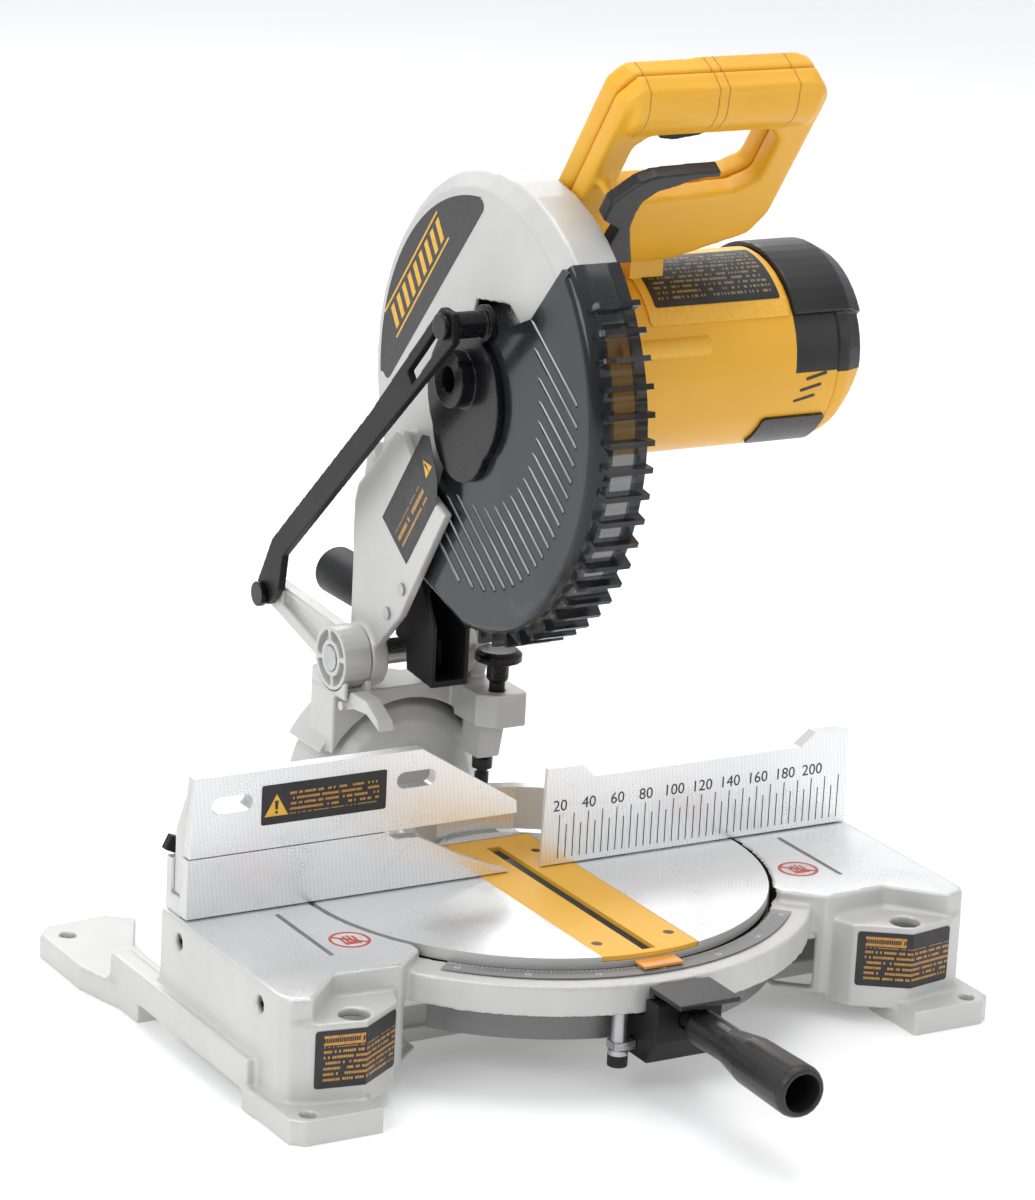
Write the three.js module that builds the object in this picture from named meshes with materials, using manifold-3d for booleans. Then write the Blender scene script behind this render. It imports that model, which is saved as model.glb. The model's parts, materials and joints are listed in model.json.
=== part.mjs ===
// Compound miter saw, 254 mm blade, head raised, table square to the fence.
// Millimetres. +X to the operator's right along the fence, +Y away from the
// operator, +Z up. The origin is on the miter pivot axis at bench level, the
// blade runs in the plane x = 0 and the fence face is the plane y = 0.
import * as THREE from 'three';
import { mergeVertices } from 'three/addons/utils/BufferGeometryUtils.js';
import Module from 'manifold-3d';

const wasm = await Module();
wasm.setup();

// ---------- driving dimensions ----------
const TABLE = 76;              // height of the table top above the bench
const GAP = 0.3;               // air between neighbouring pieces
const TURNTABLE_R = 143.5;
const OPENING_R = 145.6;       // round opening in the base
const REAR_DISC_R = 66.5;      // turntable behind the fence
const RING_R = 170;            // outside of the front scale ring
const BASE_HALF = 229;         // half the width of the base
const BASE_BACK = 27;          // back of the wings
const SIDE_HOLE_Z = TABLE - 13;
const SIDE_HOLE_Y = [3.5, -99];
const FOOT_T = 15;
const HUB_R = 26;              // pivot hub of the base, standing on the bench
const HUB_TOP = 22;
const KERF_HALF = 32;
const KERF_T = 3;
const SLOT_HALF = 4.5;
const SLOT_FRONT = -138;
const SLOT_BACK = 42;
const ARM_AXIS_Z = 50;         // axis of the miter handle above the bench

const FENCE_T = 8;
const FENCE_BOTTOM = TABLE + 0.9;
const LOWER_FENCE_TOP = TABLE + 36.8;
const UPPER_FENCE_TOP = TABLE + 85.5;
const RIGHT_FENCE_TOP = TABLE + 53.4;
const BRIDGE_R = 70;

const BLADE_R = 127;
const ARBOR = { y: 60, z: TABLE + 278 };
const MOTOR = { y: 84, z: TABLE + 288 };
const HINGE = { y: 162, z: TABLE + 90 };
const LINK_FOOT = { y: 257, z: TABLE + 104.5 };
const LINK_TOP = { y: 41, z: TABLE + 326.5 };
const TRUNNION_R = 60;
const TRUNNION_FRONT = 149;
const TRUNNION_BACK = 187;

const GUARD_R = 132.5;           // outside of the cast upper guard
const LOWER_GUARD_R = 141;     // outside of the moving guard
const RIB_R = 149;
const RIBS = 20;
const RIB_STEP = 6.2;
const GUARD_LEFT = -21.5;
const GUARD_RIGHT = 14.5;

const MOTOR_R = 60;
const MOTOR_START = 48;
const MOTOR_SPLIT = 214;       // housing ends, end cap starts
const MOTOR_END = 240;
const CAP_T = MOTOR_END - MOTOR_SPLIT - GAP;
const CROWN = { y: 146, z: TABLE + 64, x0: -49, x1: -37 };  // pivot of the crown stop
const SPOUT = { x: -1, z: 192, end: 252, r: 15.5, bore: 13 };
const LOCK = { x: 36, z: ARBOR.z };   // spindle lock, pushed in from the front
const GEAR_MODULE = 1.04;
const GEAR_TEETH = 40;
const PINION_TEETH = 10;

const HANDLE_FOOT = { y: 62.5, z: TABLE + 360.6 };
const HANDLE_UP = new THREE.Vector3(0, -0.565, 0.825);
const HANDLE_NORMAL = new THREE.Vector3(0, -0.825, -0.565);
const HANDLE_LEFT = 22;
const HANDLE_RIGHT = 162;
const GRIP_V = 125;            // grip centre line above the handle foot
const GRIP_R = 20;

// ---------- colours ----------
const PAINT = { color: 0xd8d8d4, roughness: 0.45, metalness: 0.15 };
const BRIGHT = { color: 0xd2d4d6, roughness: 0.28, metalness: 0.9 };
const STEEL = { color: 0xa8a9ab, roughness: 0.35, metalness: 0.95 };
const YELLOW = { color: 0xf0ae22, roughness: 0.42, metalness: 0.0 };
const BLACK = { color: 0x1c1c1d, roughness: 0.5, metalness: 0.0 };
const SMOKE = { color: 0x35373a, roughness: 0.25, metalness: 0.0 };
const DARK = { color: 0x4a4b4c, roughness: 0.5, metalness: 0.3 };
const COPPER = { color: 0xb06a3a, roughness: 0.4, metalness: 0.9 };
const ORANGE = { color: 0xe07030, roughness: 0.3, metalness: 0.0 };

// ---------- solids ----------
const X = new THREE.Vector3(1, 0, 0);
const Y = new THREE.Vector3(0, 1, 0);
const Z = new THREE.Vector3(0, 0, 1);

function toSolid(geometry) {
  const bare = geometry.clone();
  bare.deleteAttribute('normal');
  bare.deleteAttribute('uv');
  const merged = mergeVertices(bare, 1e-4);
  return new wasm.Manifold(new wasm.Mesh({
    numProp: 3,
    vertProperties: new Float32Array(merged.attributes.position.array),
    triVerts: new Uint32Array(merged.index.array),
  }));
}

function toGeometry(solid) {
  const mesh = solid.getMesh();
  const geometry = new THREE.BufferGeometry();
  geometry.setAttribute('position', new THREE.BufferAttribute(mesh.vertProperties, 3));
  geometry.setIndex(new THREE.BufferAttribute(mesh.triVerts, 1));
  geometry.computeVertexNormals();
  return geometry;
}

const join = (first, ...rest) => rest.reduce((all, next) => all.add(next), first);
const cut = (first, ...rest) => rest.reduce((left, next) => left.subtract(next), first);

function outline(points) {
  const corners = points.map(([u, v]) => new THREE.Vector2(u, v));
  if (THREE.ShapeUtils.isClockWise(corners)) corners.reverse();
  return new THREE.Shape(corners);
}

function extrude(shape, depth, basis, at, segments = 16) {
  const geometry = new THREE.ExtrudeGeometry(shape, {
    depth, bevelEnabled: false, curveSegments: segments,
  });
  geometry.applyMatrix4(basis.setPosition(at));
  return toSolid(geometry);
}

// an outline in (y, z), from x0 to x1
function alongX(shape, x0, x1, segments) {
  const basis = new THREE.Matrix4().makeBasis(Y, Z, X);
  return extrude(shape, x1 - x0, basis, new THREE.Vector3(x0, 0, 0), segments);
}

// an outline in (x, z), from y0 to y1
function alongY(shape, y0, y1, segments) {
  const basis = new THREE.Matrix4().makeBasis(X, Z, Y.clone().negate());
  return extrude(shape, y1 - y0, basis, new THREE.Vector3(0, y1, 0), segments);
}

// an outline in (x, y), from z0 to z1
function alongZ(shape, z0, z1, segments) {
  const basis = new THREE.Matrix4().makeBasis(X, Y, Z);
  return extrude(shape, z1 - z0, basis, new THREE.Vector3(0, 0, z0), segments);
}

function box(x0, x1, y0, y1, z0, z1) {
  return alongZ(outline([[x0, y0], [x1, y0], [x1, y1], [x0, y1]]), z0, z1);
}

function disc(u, v, radius, hole = 0) {
  const shape = new THREE.Shape();
  shape.absarc(u, v, radius, 0, 2 * Math.PI, false);
  if (hole > 0) {
    const bore = new THREE.Path();
    bore.absarc(u, v, hole, 0, 2 * Math.PI, true);
    shape.holes.push(bore);
  }
  return shape;
}

const rad = THREE.MathUtils.degToRad;

// part of a ring between two radii and two angles, in degrees
function sector(u, v, inner, outer, from, to) {
  const shape = new THREE.Shape();
  shape.absarc(u, v, outer, rad(from), rad(to), false);
  shape.absarc(u, v, inner, rad(to), rad(from), true);
  shape.closePath();
  return shape;
}

// an outline in the handle's own plane (along X and up the handle), from w0 to w1
// towards the operator
function inHandle(shape, w0, w1, segments) {
  const basis = new THREE.Matrix4().makeBasis(X, HANDLE_UP, HANDLE_NORMAL);
  const at = new THREE.Vector3(0, HANDLE_FOOT.y, HANDLE_FOOT.z)
    .addScaledVector(HANDLE_NORMAL, w0);
  return extrude(shape, w1 - w0, basis, at, segments);
}
const rect = (u0, u1, v0, v1) => outline([[u0, v0], [u1, v0], [u1, v1], [u0, v1]]);
const handleRoom = inHandle(rect(HANDLE_LEFT - 1, HANDLE_RIGHT + 1, -1, 60), -15, 15);

const polar = (centre, radius, angle) => [
  centre.y + radius * Math.cos(rad(angle)),
  centre.z + radius * Math.sin(rad(angle)),
];

const rodX = (at, radius, x0, x1, hole = 0, segments = 8) =>
  alongX(disc(at.y, at.z, radius, hole), x0, x1, segments);
const rodY = (x, z, radius, y0, y1, hole = 0, segments = 8) =>
  alongY(disc(x, z, radius, hole), y0, y1, segments);
const rodZ = (x, y, radius, z0, z1, hole = 0, segments = 8) =>
  alongZ(disc(x, y, radius, hole), z0, z1, segments);

// a profile of [radius, height] turned about the local axis, which points along direction
function turned(profile, at, direction, segments = 32) {
  const points = profile.map(([r, h]) => new THREE.Vector2(r, h));
  const geometry = new THREE.LatheGeometry(points, segments);
  const turn = new THREE.Quaternion().setFromUnitVectors(Y, direction);
  geometry.applyQuaternion(turn);
  geometry.translate(at.x, at.y, at.z);
  const solid = toSolid(geometry);
  return solid;
}

const mirrorX = (solid) => {
  const geometry = toGeometry(solid);
  const position = geometry.attributes.position;
  for (let i = 0; i < position.count; i += 1) position.setX(i, -position.getX(i));
  const index = geometry.index.array;
  for (let i = 0; i < index.length; i += 3) {
    const last = index[i + 2];
    index[i + 2] = index[i + 1];
    index[i + 1] = last;
  }
  return toSolid(geometry);
};

const saw = new THREE.Group();

function body(name) {
  const group = new THREE.Group();
  group.name = name;
  saw.add(group);
  return group;
}

function piece(group, name, solid, finish, at = [0, 0, 0]) {
  const mesh = new THREE.Mesh(toGeometry(solid), new THREE.MeshStandardMaterial(finish));
  mesh.name = name;
  mesh.position.set(...at);
  group.add(mesh);
}

// ---------- base ----------
const base = body('base_group');

const WING_FRONT = [
  [122, -88], [143, -107], [185, -104], [213, -133], [225, -129.5], [BASE_HALF, -121],
];

function wing() {
  const top = outline([[118, BASE_BACK], ...WING_FRONT.map(([x, y]) => [x, y]),
    [BASE_HALF, BASE_BACK]]);
  const upper = alongZ(top, 14, TABLE);
  // the stepped pocket and the label wall below it
  const lower = outline([[140, -90], [154, -122], [183, -141], [214, -136], [225, -130],
    [BASE_HALF, -121], [BASE_HALF, -60], [140, -60]]);
  const step = alongZ(lower, 10, TABLE - 14);
  const inside = outline([[126, BASE_BACK - 6], [126, -82], [146, -100], [160, -116],
    [183, -133], [210, -128], [BASE_HALF - 6, -117], [BASE_HALF - 6, BASE_BACK - 6]]);
  const hollow = alongZ(inside, -1, TABLE - 20);
  const lid = alongZ(outline([[126, BASE_BACK - 6], [126, -82], [143, -97], [183, -95],
    [210, -123], [BASE_HALF - 6, -117], [BASE_HALF - 6, BASE_BACK - 6]]), TABLE - 21, TABLE - 6);
  const groove = box(171, 173.5, -78, -9, TABLE - 1.2, TABLE + 1);
  const clampHole = rodZ(185, -129, 9, 0, TABLE, 0, 10);
  const sideHoles = SIDE_HOLE_Y.map((y) =>
    rodX({ y, z: SIDE_HOLE_Z }, 5, BASE_HALF - 7, BASE_HALF + 1, 0, 6));
  return cut(join(upper, step), hollow, lid, groove, clampHole, ...sideHoles);
}

function feet() {
  const front = outline([[176, -110], [178.5, -156], [227, -156], [234, -150], [236, -96],
    [BASE_HALF, -88], [222, -88], [222, -110]]);
  const frontFoot = cut(alongZ(front, 0, FOOT_T), rodZ(221, -147, 5, -1, 20, 0, 8));
  // a raised flange runs along the side from the front foot to the rear foot
  const rail = box(222, 236, -100, 70, 12, 31);
  const rear = outline([[180, 160], [196, 172], [236, 168], [245, 158], [245, 100],
    [236, 62], [222, 40], [200, 40], [200, 120]]);
  const rearFoot = cut(alongZ(rear, 0, FOOT_T), rodZ(230, 150, 5, -1, 20, 0, 8));
  const riser = box(222, 236, 40, 78, 0, 31);
  return join(frontFoot, rail, rearFoot, riser);
}

function baseCasting() {
  const side = join(wing(), feet());
  const crossBeams = [
    box(-200, 200, -60, -30, 6, 16),
    box(-200, 200, 2, 22, 6, 16),
  ];
  const floor = rodZ(0, 0, 60, 6, 16, 0, 12);
  const ring = alongZ(sector(0, 0, OPENING_R, RING_R, 205, 335), TABLE - 25, TABLE - 7, 14);
  const opening = rodZ(0, 0, OPENING_R, 17, TABLE + 5, 0, 26);
  // the arm's post swings under the front ends of the wings
  const postRoom = [[206, 226], [314, 334]].map(([from, to]) =>
    alongZ(sector(0, 0, OPENING_R - 3, 173, from, to), 16.8, TABLE - 24.9, 6));
  const whole = cut(join(side, mirrorX(side), ...crossBeams, floor, ring), opening, ...postRoom);
  const hub = rodZ(0, 0, HUB_R, 0, HUB_TOP, 0, 10);
  return join(whole, hub).subtract(rodZ(0, 0, 6.5, 4, HUB_TOP + 1));
}
piece(base, 'base_casting', baseCasting(), PAINT);

piece(base, 'miter_scale',
  alongZ(sector(0, 0, 147, 159, 222, 318), TABLE - 7 + GAP, TABLE - 5.8, 12), DARK);
piece(base, 'detent_plate',
  alongZ(sector(0, 0, 141.5, 150, 218, 322), TABLE - 47, TABLE - 25.4, 12), DARK);

// ---------- fences ----------
function fixedFence() {
  const left = alongY(outline([[-226, FENCE_BOTTOM], [-13, FENCE_BOTTOM], [-22, TABLE + 4],
    [-46, TABLE + 15], [-76, TABLE + 31], [-91.5, TABLE + 32], [-98.6, LOWER_FENCE_TOP],
    [-226, LOWER_FENCE_TOP]]), 0, FENCE_T + 1);
  const right = alongY(outline([[8, FENCE_BOTTOM], [227, FENCE_BOTTOM], [225, TABLE + 61],
    [201, TABLE + 61.8], [190, RIGHT_FENCE_TOP], [43, RIGHT_FENCE_TOP], [35, TABLE + 61.5],
    [10.3, TABLE + 62]]), 0, FENCE_T);
  const bridge = cut(
    alongZ(disc(0, 0, BRIDGE_R + 8, BRIDGE_R), FENCE_BOTTOM, TABLE + 28, 16),
    box(-90, 90, -90, 4, 0, 200),
  );
  const leftFoot = box(-226, -150, FENCE_T, 26.5, TABLE + GAP, TABLE + 11);
  const rightFoot = box(150, 226, FENCE_T - 1, 26.5, TABLE + GAP, TABLE + 13);
  const rearWall = box(-226, -90, 20.5, 26.5, FENCE_BOTTOM, TABLE + 32);
  const channel = box(-226, -90, FENCE_T, 26.5, FENCE_BOTTOM, TABLE + 11);
  const rightRib = alongX(outline([[FENCE_T - 1, TABLE + 10], [24, TABLE + 10],
    [FENCE_T - 1, TABLE + 40]]), 205, 212);
  const bored = join(left, right, bridge, leftFoot, rightFoot, rearWall, channel, rightRib);
  const clampBore = rodY(-190, TABLE + 24, 3.6, 15, 30, 0, 6);
  // the right plate is relieved behind, so that the blade can swing past it
  const relief = alongZ(outline([[6, 1.2], [6, 10], [17.5, 10], [8, 1.2]]), 60, 150);
  return cut(bored, clampBore, relief);
}
piece(base, 'fence_casting', fixedFence(), BRIGHT);

const leftFence = body('left_fence_group');
function slidingFence() {
  const face = alongY(outline([[-225, LOWER_FENCE_TOP + 0.6], [-9.7, LOWER_FENCE_TOP + 0.6],
    [-10.5, TABLE + 45.2], [-76, UPPER_FENCE_TOP], [-223, UPPER_FENCE_TOP]]), 0, FENCE_T);
  const rail = box(-224, -96, FENCE_T + 1.6, 19.9, TABLE + 11.6, TABLE + 50);
  const web = alongX(outline([[FENCE_T - 1, LOWER_FENCE_TOP + 0.6], [19.9, LOWER_FENCE_TOP + 0.6],
    [19.9, TABLE + 50], [FENCE_T - 1, TABLE + 76]]), -224, -96);
  const slot = (x) => {
    const shape = new THREE.Shape();
    shape.absarc(x - 8, TABLE + 67.5, 5, Math.PI / 2, -Math.PI / 2, false);
    shape.absarc(x + 8, TABLE + 67.5, 5, -Math.PI / 2, Math.PI / 2, false);
    return alongY(shape, -1, 30, 6);
  };
  return cut(join(face, rail, web), slot(-198.6), slot(-79));
}
piece(leftFence, 'fence_slider', slidingFence(), BRIGHT);

const fenceClamp = body('fence_clamp_group');
const clampLever = join(
  rodY(-190, TABLE + 24, 3.2, 20.6, 32, 0, 6),
  rodY(-190, TABLE + 24, 7, 27, 34, 0, 8),
  alongY(outline([[-192, TABLE + 18], [-186, TABLE + 29], [-222, TABLE + 42],
    [-226, TABLE + 34]]), 29, 34),
);
piece(fenceClamp, 'fence_clamp_lever', clampLever, BLACK);

// ---------- turntable ----------
const table = body('turntable_group');

function turntable() {
  const front = alongZ(sector(0, 0, 1, TURNTABLE_R, 180, 360), TABLE - 10, TABLE, 24);
  const strip = box(-142, 142, -2, 12, TABLE - 10, TABLE);
  const limit = rodZ(0, 0, TURNTABLE_R, TABLE - 11, TABLE + 1, 0, 24);
  const rear = rodZ(0, 0, REAR_DISC_R, TABLE - 10, TABLE, 0, 14);
  const skirt = cut(
    alongZ(disc(0, 0, TURNTABLE_R - 3, TURNTABLE_R - 9), TABLE - 24, TABLE - 9, 20),
    box(-160, 160, 12, 160, 0, 200),
  );
  // two walls and a floor under the kerf, from the front to the trunnion
  const walls = [[-34, -20], [30, 42]].map(([x0, x1]) => box(x0, x1, -134, 152, 24, TABLE - 9));
  const floor = box(-34, 42, -134, 152, 24, 36);
  const hub = rodZ(0, 0, 25, HUB_TOP + GAP, 36, 0, 10);
  const stopPad = box(38, 50, 128, 142, 30, TABLE + 4);
  const raw = join(front, strip.intersect(limit), rear, skirt, ...walls, floor, hub, stopPad);
  const recess = box(-KERF_HALF - GAP, KERF_HALF + GAP, -160, 57, TABLE - KERF_T - GAP, TABLE + 1);
  // the slot widens below towards the right, where the blade leans when the head tilts left
  const left = -SLOT_HALF - 1;
  const right = SLOT_HALF + 1;
  const bladeSlot = alongY(outline([[left, TABLE + 1], [left, 37], [28, 37], [28, TABLE - 22],
    [right, TABLE - KERF_T], [right, TABLE + 1]]), SLOT_FRONT - 1, SLOT_BACK + 2);
  return cut(raw, recess, bladeSlot, rodZ(0, 0, 6.5, 0, 60));
}
piece(table, 'turntable', turntable(), BRIGHT);

function kerfPlate() {
  const plate = box(-KERF_HALF, KERF_HALF, -143, 56, TABLE - KERF_T, TABLE);
  const round = rodZ(0, 0, TURNTABLE_R - 0.5, TABLE - 5, TABLE + 5, 0, 24);
  const slot = box(-SLOT_HALF, SLOT_HALF, SLOT_FRONT, SLOT_BACK, TABLE - 5, TABLE + 5);
  const sinks = KERF_SCREWS.map(([x, y]) => rodZ(x, y, 3.4, TABLE - 5, TABLE + 5, 0, 4));
  return cut(plate.intersect(round), slot, ...sinks);
}
const KERF_SCREWS = [[-24, -120], [24, -120], [-22, 28], [22, 28]];
piece(table, 'kerf_plate', kerfPlate(), YELLOW);
const screw = rodZ(0, 0, 3.1, TABLE - KERF_T, TABLE - 0.5, 0, 4);
KERF_SCREWS.forEach(([x, y], i) => piece(table, `kerf_screw_${i + 1}`, screw, DARK, [x, y, 0]));

const pointer = box(-13, 13, -155, -TURNTABLE_R - 0.4, TABLE - 5.2, TABLE - 3.4);
piece(table, 'miter_pointer', pointer, ORANGE);

const pivot = join(rodZ(0, 0, 6, 5, 37), rodZ(0, 0, 10, 36.3, 41, 0, 3));
piece(table, 'pivot_bolt', pivot, STEEL);

// the bevel trunnion: a domed housing on the turntable's rear neck
function trunnion() {
  const dome = turned([[0, 0], [34, 0], [46, 3], [54, 10], [TRUNNION_R, 24],
    [TRUNNION_R, TRUNNION_BACK - TRUNNION_FRONT - 3], [0, TRUNNION_BACK - TRUNNION_FRONT - 3]],
  new THREE.Vector3(0, TRUNNION_FRONT, TABLE), Y, 32);
  const bore = rodY(0, TABLE, 9.5, TRUNNION_BACK - 12, 210);
  const seat = box(-34.6, 42.6, 140, 152.4, 10, TABLE - 8.4);
  const padRoom = box(37.5, 50.5, 120, 142.4, 20, TABLE + 5);
  return cut(dome, bore, seat, padRoom);
}
piece(table, 'bevel_trunnion', trunnion(), PAINT);

function armHousing() {
  const block = alongX(outline([[-134.4, 23], [-134.4, 28.4], [-151, 28.4], [-151, 50],
    [-171.4, 50], [-171.4, 61], [-184, 61], [-184, 38], [-176, 23]]), -22, 22);
  const shaftHole = rodY(0, ARM_AXIS_Z, 6.4, -190, -160);
  return block.subtract(shaftHole);
}
piece(table, 'miter_arm', armHousing(), BLACK);
const post = join(rodZ(-31, -160, 4.6, 27, 50.5), box(-36, -22.3, -165, -155, 28, 33),
  rodZ(-31, -160, 6, 18, 28));
piece(table, 'arm_post', post, STEEL);

const latch = body('miter_latch_group');
piece(latch, 'miter_latch', alongX(outline([[-171.4, 61.6], [-176, 61.6], [-176, 65], [-205, 65],
  [-205, 68], [-171.4, 68]]), -20, 20), BLACK);

const miterHandle = body('miter_handle_group');
const handleProfile = [[0, -8], [5.8, -8], [5.8, 10], [11, 12], [10.5, 34], [10.5, 44],
  [14.5, 66], [15.5, 112], [13.5, 116], [11, 116], [11, 76], [0, 76]];
piece(miterHandle, 'miter_handle', turned(handleProfile,
  new THREE.Vector3(0, -184.4, ARM_AXIS_Z), new THREE.Vector3(0, -1, 0), 20), BLACK);

// ---------- yoke: tilts about the bevel axis ----------
const yoke = body('yoke_group');
function yokeCasting() {
  const back = rodY(0, TABLE, 58, TRUNNION_BACK - 2.5, TRUNNION_BACK + 14, 0, 16);
  const arch = rodY(0, TABLE, TRUNNION_R + 6, 160, TRUNNION_BACK + 14, 0, 18)
    .intersect(box(-70, 70, 150, 220, TABLE + 30, TABLE + 80));
  const bridge = box(-53, 53, 154, 184, TABLE + 30, TABLE + 69);
  const leftCradle = box(-52, -33, 142, 186, TABLE + 68, TABLE + 79);
  const rightCheek = alongX(outline([[154, TABLE + 66], [184, TABLE + 66], [178, TABLE + 106],
    [148, TABLE + 106], [146, TABLE + 84]]), 42, 53);
  const stopBlock = alongZ(outline([[30, 160], [30, 122], [40, 112], [60, 112], [62, 116],
    [62, 146], [50, 160]]), TABLE + 48, TABLE + 69.5);
  const lug = alongX(outline([[122, TABLE + 50], [148.4, TABLE + 50], [148.4, TABLE + 24],
    [128, TABLE + 24]]), 36, 52);
  const domeRoom = rodY(0, TABLE, TRUNNION_R + 0.4, 150, TRUNNION_BACK - 2.5, 0, 18);
  const upper = cut(join(bridge, arch, leftCradle, rightCheek, stopBlock, lug), domeRoom);
  return cut(
    join(back, upper),
    rodX(HINGE, 8.3, -60, 60),
    rodX(HINGE, 20.6, -52.5, 42.3, 0, 12),
    box(-44.5, -35.5, 172, 270, TABLE + 72, TABLE + 120),
    box(CROWN.x0, CROWN.x1, 130, 151, TABLE + 56, TABLE + 90),
    rodX(CROWN, 3.3, CROWN.x0 - 4, CROWN.x1 + 1),
    rodY(0, TABLE, 8.3, 180, 220),
    rodZ(46, 125, 5.3, TABLE + 47, TABLE + 80),
    rodZ(44, 135, 3.5, TABLE + 20, TABLE + 40),
  );
}
piece(yoke, 'yoke_casting', yokeCasting(), PAINT);

// a cast bracket on the hinge's left end holds the foot of the guard link
function linkBracket() {
  const arm = alongX(outline([[HINGE.y + 6, HINGE.z + 18], [LINK_FOOT.y - 2, LINK_FOOT.z + 9],
    [LINK_FOOT.y + 9, LINK_FOOT.z + 2], [LINK_FOOT.y + 6, LINK_FOOT.z - 8],
    [HINGE.y + 14, HINGE.z - 14]]), -44, -36);
  const pocket = alongX(outline([[HINGE.y + 26, HINGE.z + 12], [LINK_FOOT.y - 14, LINK_FOOT.z + 5],
    [LINK_FOOT.y - 14, LINK_FOOT.z - 3], [HINGE.y + 30, HINGE.z - 2]]), -45, -40);
  const ring = rodX(HINGE, 20, -52, -33.1, 0, 12);
  const spokes = [80, 170, 260, 350].map((angle) => {
    const pocketShape = sector(HINGE.y, HINGE.z, 11.5, 17.5, angle + 6, angle + 84);
    return alongX(pocketShape, -53, -46, 3);
  });
  return cut(join(arm.subtract(pocket), ring), rodX(HINGE, 8.3, -60, -30, 0, 12), ...spokes,
    rodX(LINK_FOOT, 3.7, -50, -30, 0, 8));
}
piece(yoke, 'link_bracket', linkBracket(), PAINT);
piece(yoke, 'hinge_pin', rodX(HINGE, 8, -52.5, 53.5, 0, 12), STEEL);
piece(yoke, 'link_foot_pin', join(rodX(LINK_FOOT, 3.4, -54, -36, 0, 8),
  rodX(LINK_FOOT, 8, -55.5, -51.4, 0, 8)), BLACK);
piece(yoke, 'bevel_stop_bolt', join(rodZ(44, 135, 3.2, TABLE + 12, TABLE + 38, 0, 6),
  rodZ(44, 135, 6.5, TABLE + 16, TABLE + 22.5, 0, 6),
  rodZ(44, 135, 4.5, TABLE + 4.4, TABLE + 13, 0, 6)), BLACK);

const bevelLock = body('bevel_lock_group');
const bevelLever = join(
  rodY(0, TABLE, 8, TRUNNION_BACK - 11, TRUNNION_BACK + 22),
  rodY(0, TABLE, 15, TRUNNION_BACK + 14.4, TRUNNION_BACK + 26, 0, 12),
  alongY(outline([[-6, TABLE + 4], [6, TABLE + 4], [9, TABLE + 72], [-1, TABLE + 74]]),
    TRUNNION_BACK + 18, TRUNNION_BACK + 26),
);
piece(bevelLock, 'bevel_lock_lever', bevelLever, BLACK);

const plunger = body('stop_plunger_group');
piece(plunger, 'stop_plunger', turned([[0, 0], [5, 0], [5, 22], [7, 24], [7, 34], [15, 36],
  [15, 40.5], [12, 43], [0, 43.6]], new THREE.Vector3(46, 125, TABLE + 53), Z, 16), BLACK);

const crownLever = body('crown_stop_group');
const silverLever = join(
  rodX(CROWN, 3, CROWN.x0 - 3.5, CROWN.x1 - 0.5),
  alongX(outline([[148, TABLE + 60], [150, TABLE + 68], [140, TABLE + 74], [122, TABLE + 74],
    [106, TABLE + 66], [103, TABLE + 60], [120, TABLE + 66], [138, TABLE + 64]]),
  CROWN.x0 + 0.6, CROWN.x1 - 0.6),
);
piece(crownLever, 'crown_stop_lever', silverLever, PAINT);

// ---------- head ----------
const head = body('head_group');

function upperGuard() {
  // a drum round the blade, with its rim chamfered towards the left face
  const drum = turned([[0, -17], [122, -17], [GUARD_R, -8], [GUARD_R, 20], [0, 20]],
    new THREE.Vector3(0, ARBOR.y, ARBOR.z), X, 40);
  const bladeRoom = turned([[0, -14], [119, -14], [129.6, -6], [129.6, 16.6], [0, 16.6]],
    new THREE.Vector3(0, ARBOR.y, ARBOR.z), X, 40);
  const open = alongX(sector(ARBOR.y, ARBOR.z, 31, 170, 149, 298), -40, 40, 12);
  const bossRing = rodX(ARBOR, 27.6, -21.2, -14.5, 0, 12);
  const hex = alongX(outline([[10, 40], [5, 57], [-33, 62], [-46, 54], [-22, 30]]
    .map(([y, z]) => [ARBOR.y + y, ARBOR.z + z])), -19, -12);
  // left cheek: runs from the guard's back down to the hinge, outside the moving guard
  const cheek = alongX(outline([[178, TABLE + 96], [180, TABLE + 184], [176, TABLE + 196],
    [132, TABLE + 240], [126, TABLE + 241], [101, TABLE + 217], [67.6, TABLE + 204],
    [118, TABLE + 126], [145, TABLE + 100]]), -30, -23.5);
  const joiner = alongX(outline([[177, TABLE + 179], [179, TABLE + 190], [134, TABLE + 237],
    [127, TABLE + 240], [118, TABLE + 227], [134, TABLE + 206], [150, TABLE + 179]]), -24.5, -14.5);
  const spine = alongX(outline([[160, TABLE + 177], [181, TABLE + 177], [182, TABLE + 192],
    [176, TABLE + 222], [168, TABLE + 214]]), -24, 19.5);
  const boss = rodX(HINGE, 20, -32.6, -21, 0, 12);
  return cut(join(cut(drum, open), bossRing, joiner, spine, cheek, boss), bladeRoom, hex,
    rodX(HINGE, 8.3, -60, 60), rodX(ARBOR, 24, -24, 24, 0, 12));
}
piece(head, 'upper_guard', upperGuard(), PAINT);

// right-hand arm casting, from the hinge to the gear case
function swingArm() {
  const barrel = rodX(HINGE, 20, 20.6, 41.5, 0, 12);
  // the front edge stays straight above the barrel, so that it passes over the plunger
  const arm = alongX(outline([[181, HINGE.z], [183, TABLE + 180], [150, TABLE + 232],
    [104, TABLE + 252], [84, TABLE + 230], [141, TABLE + 144], [158.5, TABLE + 113.5],
    [160, HINGE.z]]), 20.6, 41);
  const pocket = alongX(outline([[176, TABLE + 122], [177, TABLE + 178], [147, TABLE + 224],
    [112, TABLE + 238], [104, TABLE + 222], [148, TABLE + 153], [166, TABLE + 122]]), 26, 42);
  return cut(join(barrel, arm.subtract(pocket)), rodX(HINGE, 8.3, -60, 60),
    rodX(MOTOR, MOTOR_R + 0.5, 20, 60, 0, 16), rodX(ARBOR, 42.5, 20, 60, 0, 12));
}
piece(head, 'swing_arm', swingArm(), PAINT);

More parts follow.
